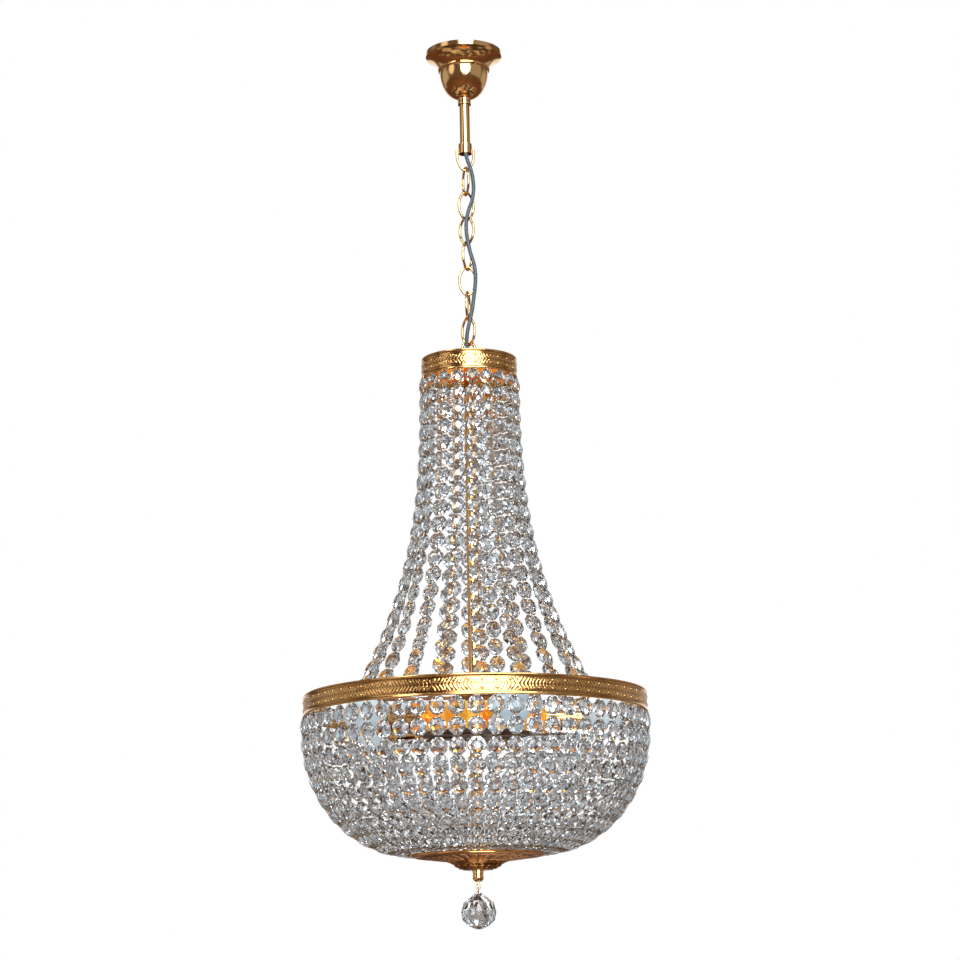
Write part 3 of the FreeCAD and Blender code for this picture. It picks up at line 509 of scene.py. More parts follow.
cableValues = {
    "diameter": 0.0046,
    "sides": 14,
    "spiderTurn": 51.4,     # degrees; the cable leaves the centre tube along the first arm
    "lampBodyTop": -0.8052,
    "cuts": (-0.104, -0.1355, -0.16615, -0.19755, -0.22895, -0.26035, -0.29175, -0.32315, -0.35455, -0.386),
    "bendReach": 0.010,     # half of the stretch over which a joint bends the cable
    "smoothing": 8,         # steps between two points of the route
    "shortest": 0.0001,     # of a step, beside a cut
    "smooth": 40,           # degrees
    # the end in the lamp body: way along the arm, height over the body's top
    "lowEnd": ((0.0005, 0.004), (0.0035, -0.007), (0.012, -0.0144), (0.022, -0.015), (0.032, -0.015)),
}


# The points that the cable is drawn with, from the terminal block to the lamp body.
def cableRoute(values):
    east = math.sin(math.radians(values["spiderTurn"]))
    north = -math.cos(math.radians(values["spiderTurn"]))
    top = values["lampBodyTop"]
    points = [
        (0.0162, 0, -0.019), (0.0162, 0, -0.0265), (0.0118, 0.0001, -0.034),
        (0.0044, 0.0002, -0.0425), (0.0004, 0.0007, -0.053), (0, 0.0009, -0.074),
        (0, -0.0006, -0.098), (0, -0.0025, -0.115), (0.0001, -0.0043, -0.125),
        (0.0012, -0.0047, -0.136), (0.006, -0.0052, -0.149), (0.0088, -0.0034, -0.162),
        (0.0095, -0.002, -0.176), (0.0074, -0.0026, -0.19), (0.0028, -0.005, -0.202),
        (-0.0002, -0.0063, -0.215), (-0.0007, -0.0056, -0.229), (0.0013, -0.0064, -0.243),
        (0.0038, -0.0052, -0.256), (0.008, -0.0048, -0.269), (0.0099, -0.005, -0.283),
        (0.0092, -0.0048, -0.298), (0.007, -0.0042, -0.313), (0.005, -0.0052, -0.328),
        (0.0022, -0.0087, -0.341), (-0.0012, -0.0079, -0.354), (-0.0026, -0.0056, -0.367),
        (-0.001, -0.0027, -0.38), (0, -0.0006, -0.394), (0.0003, 0.0004, -0.42),
        (-0.0004, -0.0004, top + 0.016),
    ]
    for reach, height in values["lowEnd"]:
        points.append((reach * east, reach * north, top + height))
    return points


# Points along the smooth line that the route draws.
def followRoute(points, smoothing):
    curve = bpy.data.curves.new("cable route", "CURVE")
    curve.dimensions = "3D"
    curve.resolution_u = smoothing
    spline = curve.splines.new("NURBS")
    spline.points.add(len(points) - 1)
    for point, place in zip(spline.points, points):
        point.co = (*place, 1)
    spline.order_u = 3
    spline.use_endpoint_u = True
    holder = bpy.data.objects.new("cable route", curve)
    bpy.context.collection.objects.link(holder)
    line = bpy.data.meshes.new_from_object(holder)
    places = [vert.co.copy() for vert in line.vertices]
    bpy.data.objects.remove(holder)
    bpy.data.curves.remove(curve)
    bpy.data.meshes.remove(line)
    return places


# A closed round tube: one circle, extruded from point to point and turned with the path.
def tubeAlong(path, radius, sides):
    bm = bmesh.new()
    ahead = (path[1] - path[0]).normalized()
    turn = Vector((0, 0, 1)).rotation_difference(ahead).to_matrix().to_4x4()
    bmesh.ops.create_circle(bm, cap_ends=True, segments=sides, radius=radius,
                            matrix=Matrix.Translation(path[0]) @ turn)
    ring = list(bm.edges)
    for k in range(1, len(path)):
        grown = bmesh.ops.extrude_edge_only(bm, edges=ring)["geom"]
        verts = [part for part in grown if isinstance(part, bmesh.types.BMVert)]
        ring = [part for part in grown if isinstance(part, bmesh.types.BMEdge)
                and all(vert in verts for vert in part.verts)]
        if k < len(path) - 1:
            after = (path[k + 1] - path[k - 1]).normalized()
        else:
            after = (path[k] - path[k - 1]).normalized()
        bend = ahead.rotation_difference(after).to_matrix()
        for vert in verts:
            vert.co = path[k] + bend @ (vert.co - path[k - 1])
        ahead = after
    bmesh.ops.holes_fill(bm, edges=ring, sides=sides)
    bmesh.ops.recalc_face_normals(bm, faces=bm.faces)
    return bm


# Splits a path that runs downwards at the given heights.
def splitPath(path, cuts, shortest):
    stretches = []
    current = [path[0]]
    left = list(cuts)
    for a, b in zip(path, path[1:]):
        while left and a.z > left[0] >= b.z:
            share = (a.z - left[0]) / (a.z - b.z)
            cut = a.lerp(b, share)
            current.append(cut)
            stretches.append(current)
            current = [cut]
            left.pop(0)
        if (b - current[-1]).length > shortest:
            current.append(b)
    stretches.append(current)
    return stretches


def makeCable(values):
    path = followRoute(cableRoute(values), values["smoothing"])
    stretches = splitPath(path, values["cuts"], values["shortest"])
    links = [joint for joint in frame["joints"] if joint["name"].startswith("link_")]
    joints = links + [joint for joint in frame["joints"] if joint["name"] == "chandelier_swing"]
    for number, stretch in enumerate(stretches):
        bm = tubeAlong(stretch, values["diameter"] / 2, values["sides"])
        if number == 0:
            piece = addPiece("cable_top", bm, [cableSheath], "ceiling_fixing",
                             ["supply_cable"], values["smooth"])
        elif number <= len(joints):
            joint = joints[number - 1]
            piece = addPiece("cable_at_" + joint["child"], bm, [cableSheath], None,
                             [], values["smooth"])
            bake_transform(piece)
            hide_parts("supply_cable")
        else:
            piece = addPiece("cable_low", bm, [cableSheath], "chandelier",
                             ["supply_cable"], values["smooth"])
    print("cable made in", len(stretches), "stretches")


makeCable(cableValues)


# crystals and their pins

funnelCrystalValues = {
    "count": 20,            # strands round the axis
    "sides": 8,
    "width": 0.0175,        # across the octagon's flats
    "growth": 0.16,         # how much larger the lowest crystal of a strand is than the highest
    "reach": 0.92,          # length along the strand, as a share of the way from joint to joint
    "room": 0.0001,         # kept between crowded neighbours, which are cut narrower
    "girdle": 0.0012,
    # rings of facets, each half a facet round from the last: share of the radius, height over the middle
    "front": ((0.74, 0.0028), (0.36, 0.0042)),
    "back": ((0.62, 0.0032), (0.14, 0.0044)),
    "sway": 0.05,           # most that a crystal turns on its strand, in radians
}
basketCrystalValues = dict(funnelCrystalValues, count=58, width=0.0188, growth=0.0, reach=0.90)
pinValues = {
    "halfLength": 0.0038,
    "halfDepth": 0.0023,
    "wire": 0.00035,
    "wireSides": 4,
    "steps": 8,
    "meeting": 0.0015,      # tips of two crystals nearer than this share a pin
    "endShift": 0.3,        # share of the way inwards; the end loops hang inside the rings' edges
}


# A cut octagon: a girdle, and on each side rings of triangles up to a flat table.
def crystalTemplate(values):
    bm = bmesh.new()
    sides = values["sides"]
    turn = math.pi / sides
    radius = values["width"] / 2 / math.cos(turn)
    half = values["girdle"] / 2
    bmesh.ops.create_circle(bm, cap_ends=True, segments=sides, radius=radius,
                            matrix=Matrix.Rotation(turn, 4, "Z"))
    bmesh.ops.translate(bm, verts=bm.verts, vec=(0, 0, -half))
    grown = bmesh.ops.extrude_face_region(bm, geom=list(bm.faces), use_keep_orig=True)["geom"]
    bmesh.ops.translate(bm, verts=[part for part in grown if isinstance(part, bmesh.types.BMVert)],
                        vec=(0, 0, values["girdle"]))
    slanted = []
    for side, rings in ((1, values["front"]), (-1, values["back"])):
        cap = [face for face in bm.faces
               if len(face.verts) == sides and face.calc_center_median().z * side > 0]
        share, height = 1.0, half
        for nextShare, nextHeight in rings:
            before = set(bm.faces)
            grown = bmesh.ops.extrude_face_region(bm, geom=cap)["geom"]
            verts = [part for part in grown if isinstance(part, bmesh.types.BMVert)]
            cap = [part for part in grown if isinstance(part, bmesh.types.BMFace)]
            bmesh.ops.scale(bm, verts=verts, vec=(nextShare / share, nextShare / share, 1))
            bmesh.ops.rotate(bm, verts=verts, matrix=Matrix.Rotation(turn, 3, "Z"))
            bmesh.ops.translate(bm, verts=verts, vec=(0, 0, side * (nextHeight - height)))
            slanted += [face for face in bm.faces if face not in before and len(face.verts) == 4]
            share, height = nextShare, nextHeight
    bmesh.ops.triangulate(bm, faces=slanted, quad_method="SHORT_EDGE")
    bmesh.ops.recalc_face_normals(bm, faces=bm.faces)
    mesh = bpy.data.meshes.new("crystal template")
    bm.to_mesh(mesh)
    bm.free()
    return mesh


# A long wire loop through the holes of two neighbours: a square section spun round.
def pinTemplate(values):
    bm = bmesh.new()
    bmesh.ops.create_circle(bm, segments=values["wireSides"], radius=values["wire"],
                            matrix=Matrix.Rotation(math.pi / 2, 4, "X"))
    bmesh.ops.translate(bm, verts=bm.verts, vec=(values["halfDepth"], 0, 0))
    bmesh.ops.spin(bm, geom=list(bm.edges), cent=(0, 0, 0), axis=(0, 0, 1), angle=2 * math.pi,
                   steps=values["steps"], use_merge=True)
    bmesh.ops.scale(bm, verts=bm.verts, vec=(1, values["halfLength"] / values["halfDepth"], 1))
    bmesh.ops.rotate(bm, verts=bm.verts, matrix=Matrix.Rotation(math.pi / 2, 3, "Y"))
    bmesh.ops.recalc_face_normals(bm, faces=bm.faces)
    mesh = bpy.data.meshes.new("pin template")
    bm.to_mesh(mesh)
    bm.free()
    return mesh


# The strands of a node, each as the line through its crystals' tips, from the top down.
def readStrands(node, meeting):
    bm = mergedCopy(node)
    found = []
    for group in islands(bm):
        points = [vert.co.copy() for vert in group]
        centre = sum(points, Vector()) / len(points)
        points.sort(key=lambda point: (point - centre).length)
        found.append(sorted(points[-2:], key=lambda point: -point.z))
    bm.free()
    found.sort(key=lambda tips: -tips[0].z)
    strands = []
    for top, bottom in found:
        for strand in strands:
            if (strand[-1] - top).length < meeting:
                strand.append(bottom)
                break
        else:
            strands.append([top, bottom])
    return strands


# The same number of joints along a strand, with the ways between them growing evenly downwards.
def graduate(strand, growth):
    lengths = [(b - a).length for a, b in zip(strand, strand[1:])]
    parts = len(lengths)
    shares = [1 + growth * (k / (parts - 1) - 0.5) for k in range(parts)]
    reach = sum(lengths)
    joints = [strand[0]]
    gone = 0.0
    for share in shares[:-1]:
        gone += reach * share / sum(shares)
        left = gone
        for a, b, length in zip(strand, strand[1:], lengths):
            if left <= length:
                joints.append(a.lerp(b, left / length))
                break
            left -= length
    joints.append(strand[-1])
    return joints


# Centre and scaled side, along and outward directions of each crystal between two joints. Where the strands
# crowd together, the side is short, so that the crystal is cut narrower and still faces out.
def layCrystals(joints, values, chance):
    pitch = sum((b - a).length for a, b in zip(joints, joints[1:])) / (len(joints) - 1)
    places = []
    for top, bottom in zip(joints, joints[1:]):
        centre = (top + bottom) / 2
        along = (top - bottom).normalized()
        radial = Vector((centre.x, centre.y, 0)).normalized()
        outward = (radial - along * radial.dot(along)).normalized()
        size = (top - bottom).length / pitch
        inmost = radial.dot(centre) - abs(radial.dot(along)) * values["width"] / 4
        spacing = 2 * math.pi * inmost / values["count"]
        share = min(size, (spacing - values["room"]) / values["width"])
        sway = Matrix.Rotation(chance.uniform(-values["sway"], values["sway"]), 3, along)
        stretch = values["reach"] * (top - bottom).length / values["width"]
        places.append((centre, sway @ along.cross(outward) * share, along * stretch, sway @ outward * size))
    return places


def placeCopy(bm, template, centre, side, along, face):
    first = len(bm.verts)
    bm.from_mesh(template)
    bm.verts.ensure_lookup_table()
    place = Matrix((side, along, face)).transposed().to_4x4()
    place.translation = centre
    bmesh.ops.transform(bm, matrix=place, verts=bm.verts[first:])


# Cut crystals in place of a ring of strands, and the wire loops that link them.
def makeStrands(prefix, values, pin):
    crystal = crystalTemplate(values)
    pinMesh = pinTemplate(pin)
    chance = random.Random(values["count"])
    loops = bmesh.new()
    for node in sorted(name for name in frame["nodes"] if name.startswith(prefix)):
        bm = bmesh.new()
        for strand in readStrands(node, pin["meeting"]):
            joints = graduate(strand, values["growth"])
            places = layCrystals(joints, values, chance)
            for place in places:
                placeCopy(bm, crystal, *place)
            for joint, (centre, side, along, face) in zip(joints, places + places[-1:]):
                if joint in (joints[0], joints[-1]):
                    joint = joint.lerp(centre, pin["endShift"])
                placeCopy(loops, pinMesh, joint, side.normalized(), along.normalized(), face.normalized())
        addPiece(node.replace("strands", "crystals"), bm, [cutCrystal], "chandelier", [node])
    addPiece(prefix.replace("strands", "pins"), loops, [pinBrass], "chandelier")
    print(prefix, "made")


makeStrands("funnel_strands", funnelCrystalValues, pinValues)
makeStrands("basket_strands", basketCrystalValues, pinValues)


# stamped bands

mainBandValues = {
    "node": "main_band",
    "columns": 2340,
    "faceRows": 26,
    "repeats": 78,
    "spray": 3,             # repeats whose leaves point the same way
    # mm, as far as the ground
    "pitch": 16.1,          # of one repeat
    "rim": 8.6,             # from the middle line to the thread along the edge
    "beadRise": 4.6,        # from the middle line to a row of beads
    "beadSize": 1.5,
    "beadFlat": 0.8,        # share of the size that is left outwards
    "leafFeet": (-8.6, -4.3, 0.0, 4.3),
    "leafLength": 4.7,
    "leafWidth": 1.25,
    "leafSlant": (0.64, 0.77),      # how far a leaf runs along the band, and how far up
    "scrollRadius": 1.7,
    "ground": 2.7,          # between the punch marks behind the leaves
    # heights as shares of the depth, and where an edge starts to fall and where it ends, in mm
    "threadHeight": 0.55,
    "threadEdge": (0.15, 0.5),
    "groundHeight": 0.22,
    "leafHeight": 0.85,
    "leafEdge": (0.45, 1.1),        # 1 is the leaf's outline
    "scrollHeight": 0.75,
    "scrollEdge": (0.2, 0.55),
    "sheet": 0.0012,
    "lip": 0.0011,
    "lipSteps": 4,
    "faceSink": 0.00035,    # metres that the ground lies behind the rolled edges
    "beadSink": 0.0004,
    "depth": 0.0004,
    "smooth": 180,          # degrees
}
crownBandValues = dict(mainBandValues, node="crown_band", columns=720, repeats=24, pitch=14.4,
                       rim=7.3, beadRise=3.9, leafFeet=(-7.8, -3.9, 0.0, 3.9), leafLength=4.0)


# Height, 0 to 1, of a leaf border. x runs along one repeat and y up from the middle line, both in mm.
def ornament(x, y, values):
    thread = values["threadHeight"] * (1.0 - steady(abs(y - values["rim"]), *values["threadEdge"]))
    level, turn = values["groundHeight"], 2 * math.pi / values["ground"]
    ground = level + level * math.sin(turn * (x + y)) * math.sin(turn * (x - y))
    forward, up = values["leafSlant"]
    leaf = 0.0
    for foot in values["leafFeet"]:
        u = (x - foot) * forward + y * up
        v = y * forward - (x - foot) * up
        shape = (u / values["leafLength"] - 1.0) ** 2 + (v / values["leafWidth"]) ** 2
        leaf = max(leaf, values["leafHeight"] * (1.0 - steady(shape, *values["leafEdge"])))
    ring = math.hypot(values["pitch"] / 2 - abs(x), y - values["beadRise"])
    edge = abs(ring - values["scrollRadius"])
    scroll = values["scrollHeight"] * (1.0 - steady(edge, *values["scrollEdge"]))
    return max(thread, ground, leaf, scroll)


# A ring of beads, joined to a band or a dish. Their size is in mm.
def addBeads(bm, count, size, flat, radius, height):
    ring = bmesh.new()
    reliefLayer = ring.verts.layers.float.new("relief")
    bmesh.ops.create_icosphere(ring, subdivisions=2, radius=size / 1000)
    bmesh.ops.scale(ring, verts=ring.verts, vec=(1, flat, 1))
    bmesh.ops.translate(ring, verts=ring.verts, vec=(0, -radius, height))
    bmesh.ops.rotate(ring, verts=ring.verts, matrix=Matrix.Rotation(math.pi / count, 3, "Z"))
    for vert in ring.verts:
        vert[reliefLayer] = 1.0
    bmesh.ops.spin(ring, geom=list(ring.faces), cent=(0, 0, 0), axis=(0, 0, 1), angle=2 * math.pi,
                   steps=count, use_duplicate=True)
    bmesh.ops.remove_doubles(ring, verts=ring.verts, dist=weldGap)
    bmesh.ops.recalc_face_normals(ring, faces=ring.faces)
    beads = bpy.data.meshes.new("beads")
    ring.to_mesh(beads)
    ring.free()
    bm.from_mesh(beads)


# A band from one grid: bent round into a ring, its section closed by rolled edges and a plain inner wall.
def stampedBand(values):
    low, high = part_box(values["node"])
    top, foot = high.z, low.z
    lip, lipSteps = values["lip"], values["lipSteps"]
    outer = high.x - lip / 2
    inner = outer - values["sheet"]
    section = [(inner, foot, 0)]        # radius, height, 1 on the stamped face
    for k in range(lipSteps + 1):
        angle = math.pi * k / lipSteps
        section.append((outer + lip / 2 * math.sin(angle), foot + lip * (1 - math.cos(angle)), 0))
    faceLow, faceHigh = foot + 2 * lip, top - 2 * lip
    rows = values["faceRows"]
    for k in range(1, rows):
        section.append((outer - values["faceSink"], faceLow + (faceHigh - faceLow) * k / rows, 1))
    for k in range(lipSteps + 1):
        angle = math.pi * k / lipSteps
        section.append((outer + lip / 2 * math.sin(angle), top - lip * (1 + math.cos(angle)), 0))
    section.append((inner, top, 0))
    section.append((inner, (top + foot) / 2, 0))
    steps = len(section)
    bm = bmesh.new()
    bmesh.ops.create_grid(bm, x_segments=values["columns"], y_segments=steps, size=1.0)
    reliefLayer = bm.verts.layers.float.new("relief")
    for vert in bm.verts:
        across = (vert.co.x + 1) / 2
        row = round((vert.co.y + 1) / 2 * steps) % steps
        r, z, face = section[row]
        angle = across * 2 * math.pi
        height = 1.0
        if face:
            number, s = divmod(across * values["repeats"], 1.0)
            lean = 1 if number // values["spray"] % 2 else -1
            rise = abs(z - (faceLow + faceHigh) / 2) * 1000
            height = ornament((s - 0.5) * values["pitch"] * lean, rise, values)
            r += height * values["depth"]
        vert[reliefLayer] = height
        vert.co = (r * math.sin(angle), -r * math.cos(angle), z)
    bmesh.ops.remove_doubles(bm, verts=bm.verts, dist=weldGap)
    bmesh.ops.recalc_face_normals(bm, faces=bm.faces)
    for side in (1, -1):
        rise = (faceLow + faceHigh) / 2 + side * values["beadRise"] / 1000
        addBeads(bm, values["repeats"], values["beadSize"], values["beadFlat"],
                 outer - values["beadSink"], rise)
    addPiece(values["node"].replace("band", "gallery"), bm, [stampedBrass], "chandelier",
             [values["node"]], values["smooth"])
    print(values["node"], "stamped")


stampedBand(mainBandValues)
stampedBand(crownBandValues)


# embossed dish under the basket

dishValues = {
    "steps": 288,
    "sheet": 0.0012,
    "hole": 0.005,          # radius, as are boss and slope
    "holeSteps": 3,
    "boss": 0.0168,         # where the hanging middle starts to rise
    "bossSteps": 10,
    "bossCurve": 1.8,
    "groove": (0.0025, 0.0016),     # width and height of the step round the middle
    "slope": 0.034,         # where the slope to the rim starts
    "slopeSteps": 17,
    "slopeDrop": 0.0066,    # from the rim's top down to the start of the slope
    "slopeEnd": (0.0015, 0.0012),   # from the rim inwards, and down
    "lip": (0.0012, 0.0006),        # width and height of the rim
    "underside": -0.2,      # height of the normals on the embossed side, at most
    "slopeLeaves": 30,
    "leafPower": 0.6,
    "leafEnd": (0.62, 0.9),         # shares of the slope
    "edgeStart": (0.86, 0.93),
    "veinHeight": 0.35,
    "veinEdge": (0.03, 0.14),
    "bossLeaves": 20,
    "bossPower": 0.7,
    "bossPitch": 0.0046,    # from scallop to scallop, outwards
    "depth": 0.0016,
    "beads": 48,
    "beadSize": 0.9,
    "smooth": 50,           # degrees
}


# Points of the dish's underside, from the hole to the rim: radius, height, 1 for leaves or 2 for scallops.
def dishProfile(low, high, values):
    points = []
    rim, top, foot = high.x, high.z, low.z
    hole, boss, slope = values["hole"], values["boss"], values["slope"]
    slopeFoot = top - values["slopeDrop"]
    grooveWidth, grooveHeight = values["groove"]
    for k in range(values["holeSteps"] + 1):
        points.append((hole + (boss - hole) * k / values["holeSteps"], foot, 0))
    for k in range(1, values["bossSteps"] + 1):
        share = k / values["bossSteps"]
        points.append((boss + (slope - grooveWidth - boss) * share,
                       foot + (slopeFoot - grooveHeight - foot) * share ** values["bossCurve"],
                       2 if share < 1 else 0))
    points.append((slope, slopeFoot, 0))
    for k in range(1, values["slopeSteps"]):
        share = k / values["slopeSteps"]
        points.append((slope + (rim - values["slopeEnd"][0] - slope) * share,
                       slopeFoot + (top - values["slopeEnd"][1] - slopeFoot) * share, 1))
    lipWidth, lipHeight = values["lip"]
    points += [(rim - lipWidth, top - lipHeight, 0), (rim, top - lipHeight, 0), (rim, top, 0)]
    return points


# Height, 0 to 1, of the leaves on the slope. The share runs outwards, from the slope's start.
def slopeRelief(share, turn, values):
    half = values["slopeLeaves"] * turn / 2
    lobe = abs(math.cos(half)) ** values["leafPower"]
    vein = values["veinHeight"] * (1 - steady(abs(math.sin(half)), *values["veinEdge"]))
    return max(lobe * (1 - steady(share, *values["leafEnd"])) - vein, steady(share, *values["edgeStart"]))


# Height, 0 to 1, of the scallops round the middle.
def bossRelief(radius, turn, values):
    scallop = 0.5 + 0.5 * math.cos(2 * math.pi * (radius - values["boss"]) / values["bossPitch"])
    return abs(math.cos(values["bossLeaves"] * turn / 2)) ** values["bossPower"] * scallop


def makeDish(values):
    low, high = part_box("bottom_dish")
    under = dishProfile(low, high, values)
    # the plain inside runs back over every third point
    inside = [(r, min(z + values["sheet"], high.z), 0) for r, z, kind in under[-5::-3]]
    section = under + inside
    bm = bmesh.new()
    verts = [bm.verts.new((r, 0, z)) for r, z, kind in section]
    kinds = {round(r * 1e6): kind for r, z, kind in under}      # by radius, in micrometres
    edges = [bm.edges.new(pair) for pair in zip(verts, verts[1:] + verts[:1])]
    bmesh.ops.spin(bm, geom=verts + edges, cent=(0, 0, 0), axis=(0, 0, 1), angle=2 * math.pi,
                   steps=values["steps"], use_merge=True)
    bmesh.ops.recalc_face_normals(bm, faces=bm.faces)
    bm.normal_update()
    reliefLayer = bm.verts.layers.float.new("relief")
    slope = values["slope"]
    for vert in bm.verts:
        r = math.hypot(vert.co.x, vert.co.y)
        turn = math.atan2(vert.co.y, vert.co.x)
        kind = kinds.get(round(r * 1e6), 0) if vert.normal.z < values["underside"] else 0
        height = 1.0
        if kind == 1:
            share = (r - slope) / (high.x - values["slopeEnd"][0] - slope)
            height = slopeRelief(share, turn, values)
        elif kind == 2:
            height = bossRelief(r, turn, values)
        vert[reliefLayer] = height
        if kind:
            vert.co.z += (1 - height) * values["depth"]
    addBeads(bm, values["beads"], values["beadSize"], 1.0, slope, high.z - values["slopeDrop"])
    addPiece("embossed_dish", bm, [shadedDishBrass], "chandelier", ["bottom_dish"],
             values["smooth"])
    print("dish embossed")


makeDish(dishValues)


# surroundings

stageValues = {
    "floorHeight": -1.45,
    "floorRadius": 9.0,
    "floorSides": 96,
    "floorRoughness": 0.9,
    "floorColor": (0.86, 0.86, 0.85),
    "floorLift": (0.36, 0.36, 0.355),       # keeps it pale far from the lamps
    "floorMirrored": (0.07, 0.045, 0.03),
    "floorGlints": (0.95, 0.80, 0.62),
    "floorFar": (0.19, 0.085, 0.045),
    "glintReach": (2.5, 1.8),       # from the ceiling point: where the glints end, and where all show
    "glintScale": 2.2,
    "glintDetail": 2.0,
    "glintSpread": (0.50, 0.66),
    "floorScale": 6.0,
    "floorPatches": [       # what glass shows of the floor
        (0.44, (0.032, 0.020, 0.015)), (0.50, (0.26, 0.21, 0.19)), (0.56, (0.60, 0.53, 0.495)),
        (0.62, (1.22, 1.27, 1.25)),
    ],
    "dark": (0.13, 0.105, 0.085),       # gaps between the windows, as metal mirrors them
    "white": (1.0, 1.0, 1.0),
    "black": (0.0, 0.0, 0.0),
    # what glass shows: patches of light and dark, and a calmer view straight through to the back
    "patchDetail": 1.0,
    "patchScale": 9.0,
    "patches": [
        (0.40, (0.055, 0.044, 0.038)), (0.48, (0.25, 0.21, 0.195)), (0.56, (0.43, 0.38, 0.36)),
        (0.62, (0.66, 0.75, 0.79)), (0.69, (1.1, 1.2, 1.25)),
    ],
    "throughBack": (0.40, 0.33, 0.29),
    "throughReach": (0.998, 0.985),     # cosines, as for the windows
    "halo": (0.86, 1.0, 1.04),          # cool light in a ring round the straight view
    "haloSteps": [(0.50, 0.0), (0.68, 0.36), (0.86, 0.36), (0.94, 0.0)],     # cosine, strength
    "worldLevel": 0.55,
    "bounces": 32,          # light crosses many crystals
    "glossyBounces": 8,     # and is lost after this many turns inside them
    # direction, where the bright part ends and where the dark part starts (cosines), brightness
    "windows": [
        ((0.0, 1.0, 0.2), 0.92, 0.78, 1.0),
        ((0.128, -0.970, 0.208), 0.940, 0.922, 8.6),
        ((0.87, -0.48, 0.14), 0.93, 0.80, 0.28),
        ((-0.847, -0.489, 0.208), 0.985, 0.955, 1.1),
        ((-1.0, 0.25, -0.1), 0.95, 0.85, 0.45),
        ((0.95, 0.5, -0.15), 0.95, 0.86, 0.4),
        ((0.1, -0.3, 1.0), 0.95, 0.82, 0.5),
        ((0.48, -0.62, 0.62), 0.995, 0.990, 16.0),
        ((-0.62, -0.50, 0.60), 0.995, 0.990, 16.0),
        ((-0.10, -0.66, 0.74), 0.996, 0.992, 16.0),
    ],
}
lampValues = [
    # name, place, aim, side, power
    ("key lamp", (-1.3, -2.2, 0.5), (0, 0, -0.7), 0.7, 34.0),
    ("fill lamp", (1.9, -1.8, -0.2), (0, 0, -0.6), 0.9, 16.0),
    ("back lamp", (0.6, 2.2, 0.6), (0, 0, -0.6), 0.9, 22.0),
    ("low lamp", (0.1, -1.2, -1.35), (0, 0, -0.8), 0.5, 4.0),
]


# Pale to the camera. Metal mirrors it darker and warmer, and glass shows it in patches.
def makeFloor(values):
    bm = bmesh.new()
    bmesh.ops.create_circle(bm, cap_ends=True, segments=values["floorSides"], radius=values["floorRadius"],
                            matrix=Matrix.Translation((0, 0, values["floorHeight"])))
    mesh = bpy.data.meshes.new("studio_floor")
    bm.to_mesh(mesh)
    bm.free()
    floor = bpy.data.objects.new("studio_floor", mesh)
    bpy.context.collection.objects.link(floor)
    material, nodes, links, shader = newMaterial("studio floor")
    rays = nodes.new("ShaderNodeLightPath").outputs
    place = nodes.new("ShaderNodeTexCoord").outputs["Object"]
    clouds = addNoise(nodes, links, place, values["glintScale"], values["glintDetail"])
    spots = addSpread(nodes, links, clouds, values["glintSpread"]).outputs["Result"]
    distance = nodes.new("ShaderNodeVectorMath")
    distance.operation = "LENGTH"
    links.new(place, distance.inputs[0])
    near = addSpread(nodes, links, distance.outputs["Value"], values["glintReach"]).outputs["Result"]
    glints = addMix(nodes, links, spots, values["floorMirrored"], values["floorGlints"])
    mirrored = addMix(nodes, links, near, values["floorFar"], glints)
    base = addMix(nodes, links, rays["Is Glossy Ray"], values["floorColor"], mirrored)
    paint = addMix(nodes, links, rays["Is Transmission Ray"], base, values["black"])
    patches = addNoise(nodes, links, place, values["floorScale"], values["patchDetail"])
    through = addRamp(nodes, links, patches, values["floorPatches"])
    lift = addMix(nodes, links, rays["Is Camera Ray"], values["black"], values["floorLift"])
    light = addMix(nodes, links, rays["Is Transmission Ray"], lift, through)
    links.new(paint, shader.inputs["Base Color"])
    links.new(light, shader.inputs["Emission Color"])
    shader.inputs["Emission Strength"].default_value = 1.0
    shader.inputs["Roughness"].default_value = values["floorRoughness"]
    mesh.materials.append(material)


# How much a window lights each direction, softly towards its edge, and the cosine that this comes from.
def addWindow(nodes, links, place, direction, inner, outer, level):
    aim = nodes.new("ShaderNodeVectorMath")
    aim.operation = "DOT_PRODUCT"
    aim.inputs[1].default_value = Vector(direction).normalized()
    links.new(place, aim.inputs[0])
    soft = addSpread(nodes, links, aim.outputs["Value"], (outer, inner))
    soft.interpolation_type = "SMOOTHSTEP"
    soft.inputs["To Max"].default_value = level
    return soft.outputs["Result"], aim.outputs["Value"]


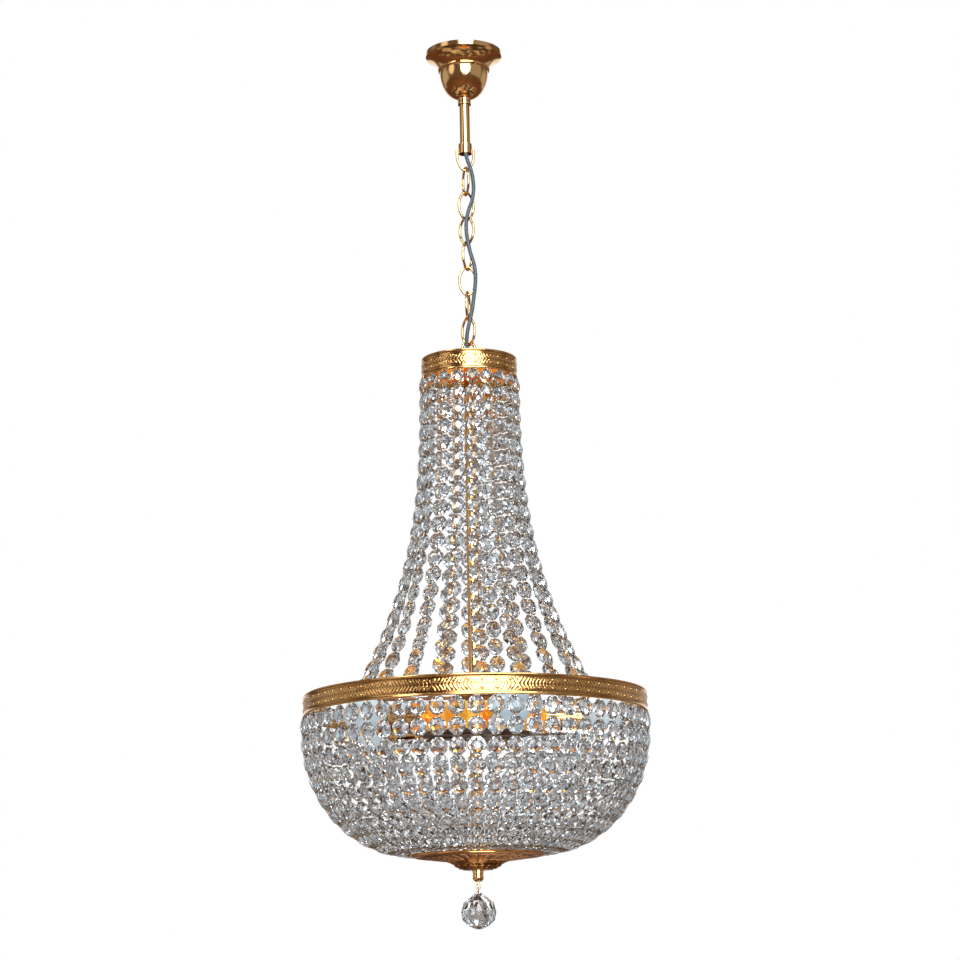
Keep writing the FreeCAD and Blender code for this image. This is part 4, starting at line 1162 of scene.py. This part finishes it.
# White to the camera. Metal and glass also see soft windows with dimmer gaps between them.
def makeWorld(values):
    world = bpy.data.worlds.new("studio")
    bpy.context.scene.world = world
    world.use_nodes = True
    nodes, links = world.node_tree.nodes, world.node_tree.links
    nodes.clear()
    place = nodes.new("ShaderNodeTexCoord").outputs["Generated"]
    lights = [addWindow(nodes, links, place, *window)[0] for window in values["windows"]]
    mask = lights[0]
    for light in lights[1:]:
        join = nodes.new("ShaderNodeMath")
        join.operation = "MAXIMUM"
        links.new(mask, join.inputs[0])
        links.new(light, join.inputs[1])
        mask = join.outputs["Value"]
    mirrored = addMix(nodes, links, mask, values["dark"], values["white"], clamped=False)
    back = values["windows"][0][0]
    straight, cosine = addWindow(nodes, links, place, back, *values["throughReach"], 1.0)
    clouds = addNoise(nodes, links, place, values["patchScale"], values["patchDetail"])
    patches = addRamp(nodes, links, clouds, values["patches"])
    ring = addRamp(nodes, links, cosine, [(spot, (level,) * 3) for spot, level in values["haloSteps"]])
    around = addMix(nodes, links, ring, patches, values["halo"])
    through = addMix(nodes, links, straight, around, values["throughBack"])
    rays = nodes.new("ShaderNodeLightPath").outputs
    shown = nodes.new("ShaderNodeBackground")
    shown.inputs["Strength"].default_value = values["worldLevel"]
    for ray, color in (("Is Glossy Ray", mirrored), ("Is Transmission Ray", through),
                       ("Is Camera Ray", values["white"])):
        background = nodes.new("ShaderNodeBackground")
        feed(links, color, background.inputs["Color"])
        mix = nodes.new("ShaderNodeMixShader")
        links.new(rays[ray], mix.inputs[0])
        links.new(shown.outputs[0], mix.inputs[1])
        links.new(background.outputs[0], mix.inputs[2])
        shown = mix
    end = nodes.new("ShaderNodeOutputWorld")
    links.new(shown.outputs[0], end.inputs["Surface"])


def makeLamps(lamps):
    for name, place, aim, side, power in lamps:
        data = bpy.data.lights.new(name, "AREA")
        data.shape = "SQUARE"
        data.size = side
        data.energy = power
        lamp = bpy.data.objects.new(name, data)
        bpy.context.collection.objects.link(lamp)
        lamp.location = place
        lamp.visible_glossy = False     # the windows are what metal mirrors
        lamp.rotation_mode = "QUATERNION"
        lamp.rotation_quaternion = (Vector(aim) - Vector(place)).to_track_quat("-Z", "Y")


makeFloor(stageValues)
makeWorld(stageValues)
makeLamps(lampValues)
bpy.context.scene.view_settings.view_transform = "Standard"
bpy.context.scene.cycles.max_bounces = stageValues["bounces"]
bpy.context.scene.cycles.transmission_bounces = stageValues["bounces"]
bpy.context.scene.cycles.glossy_bounces = stageValues["glossyBounces"]
print("studio set")
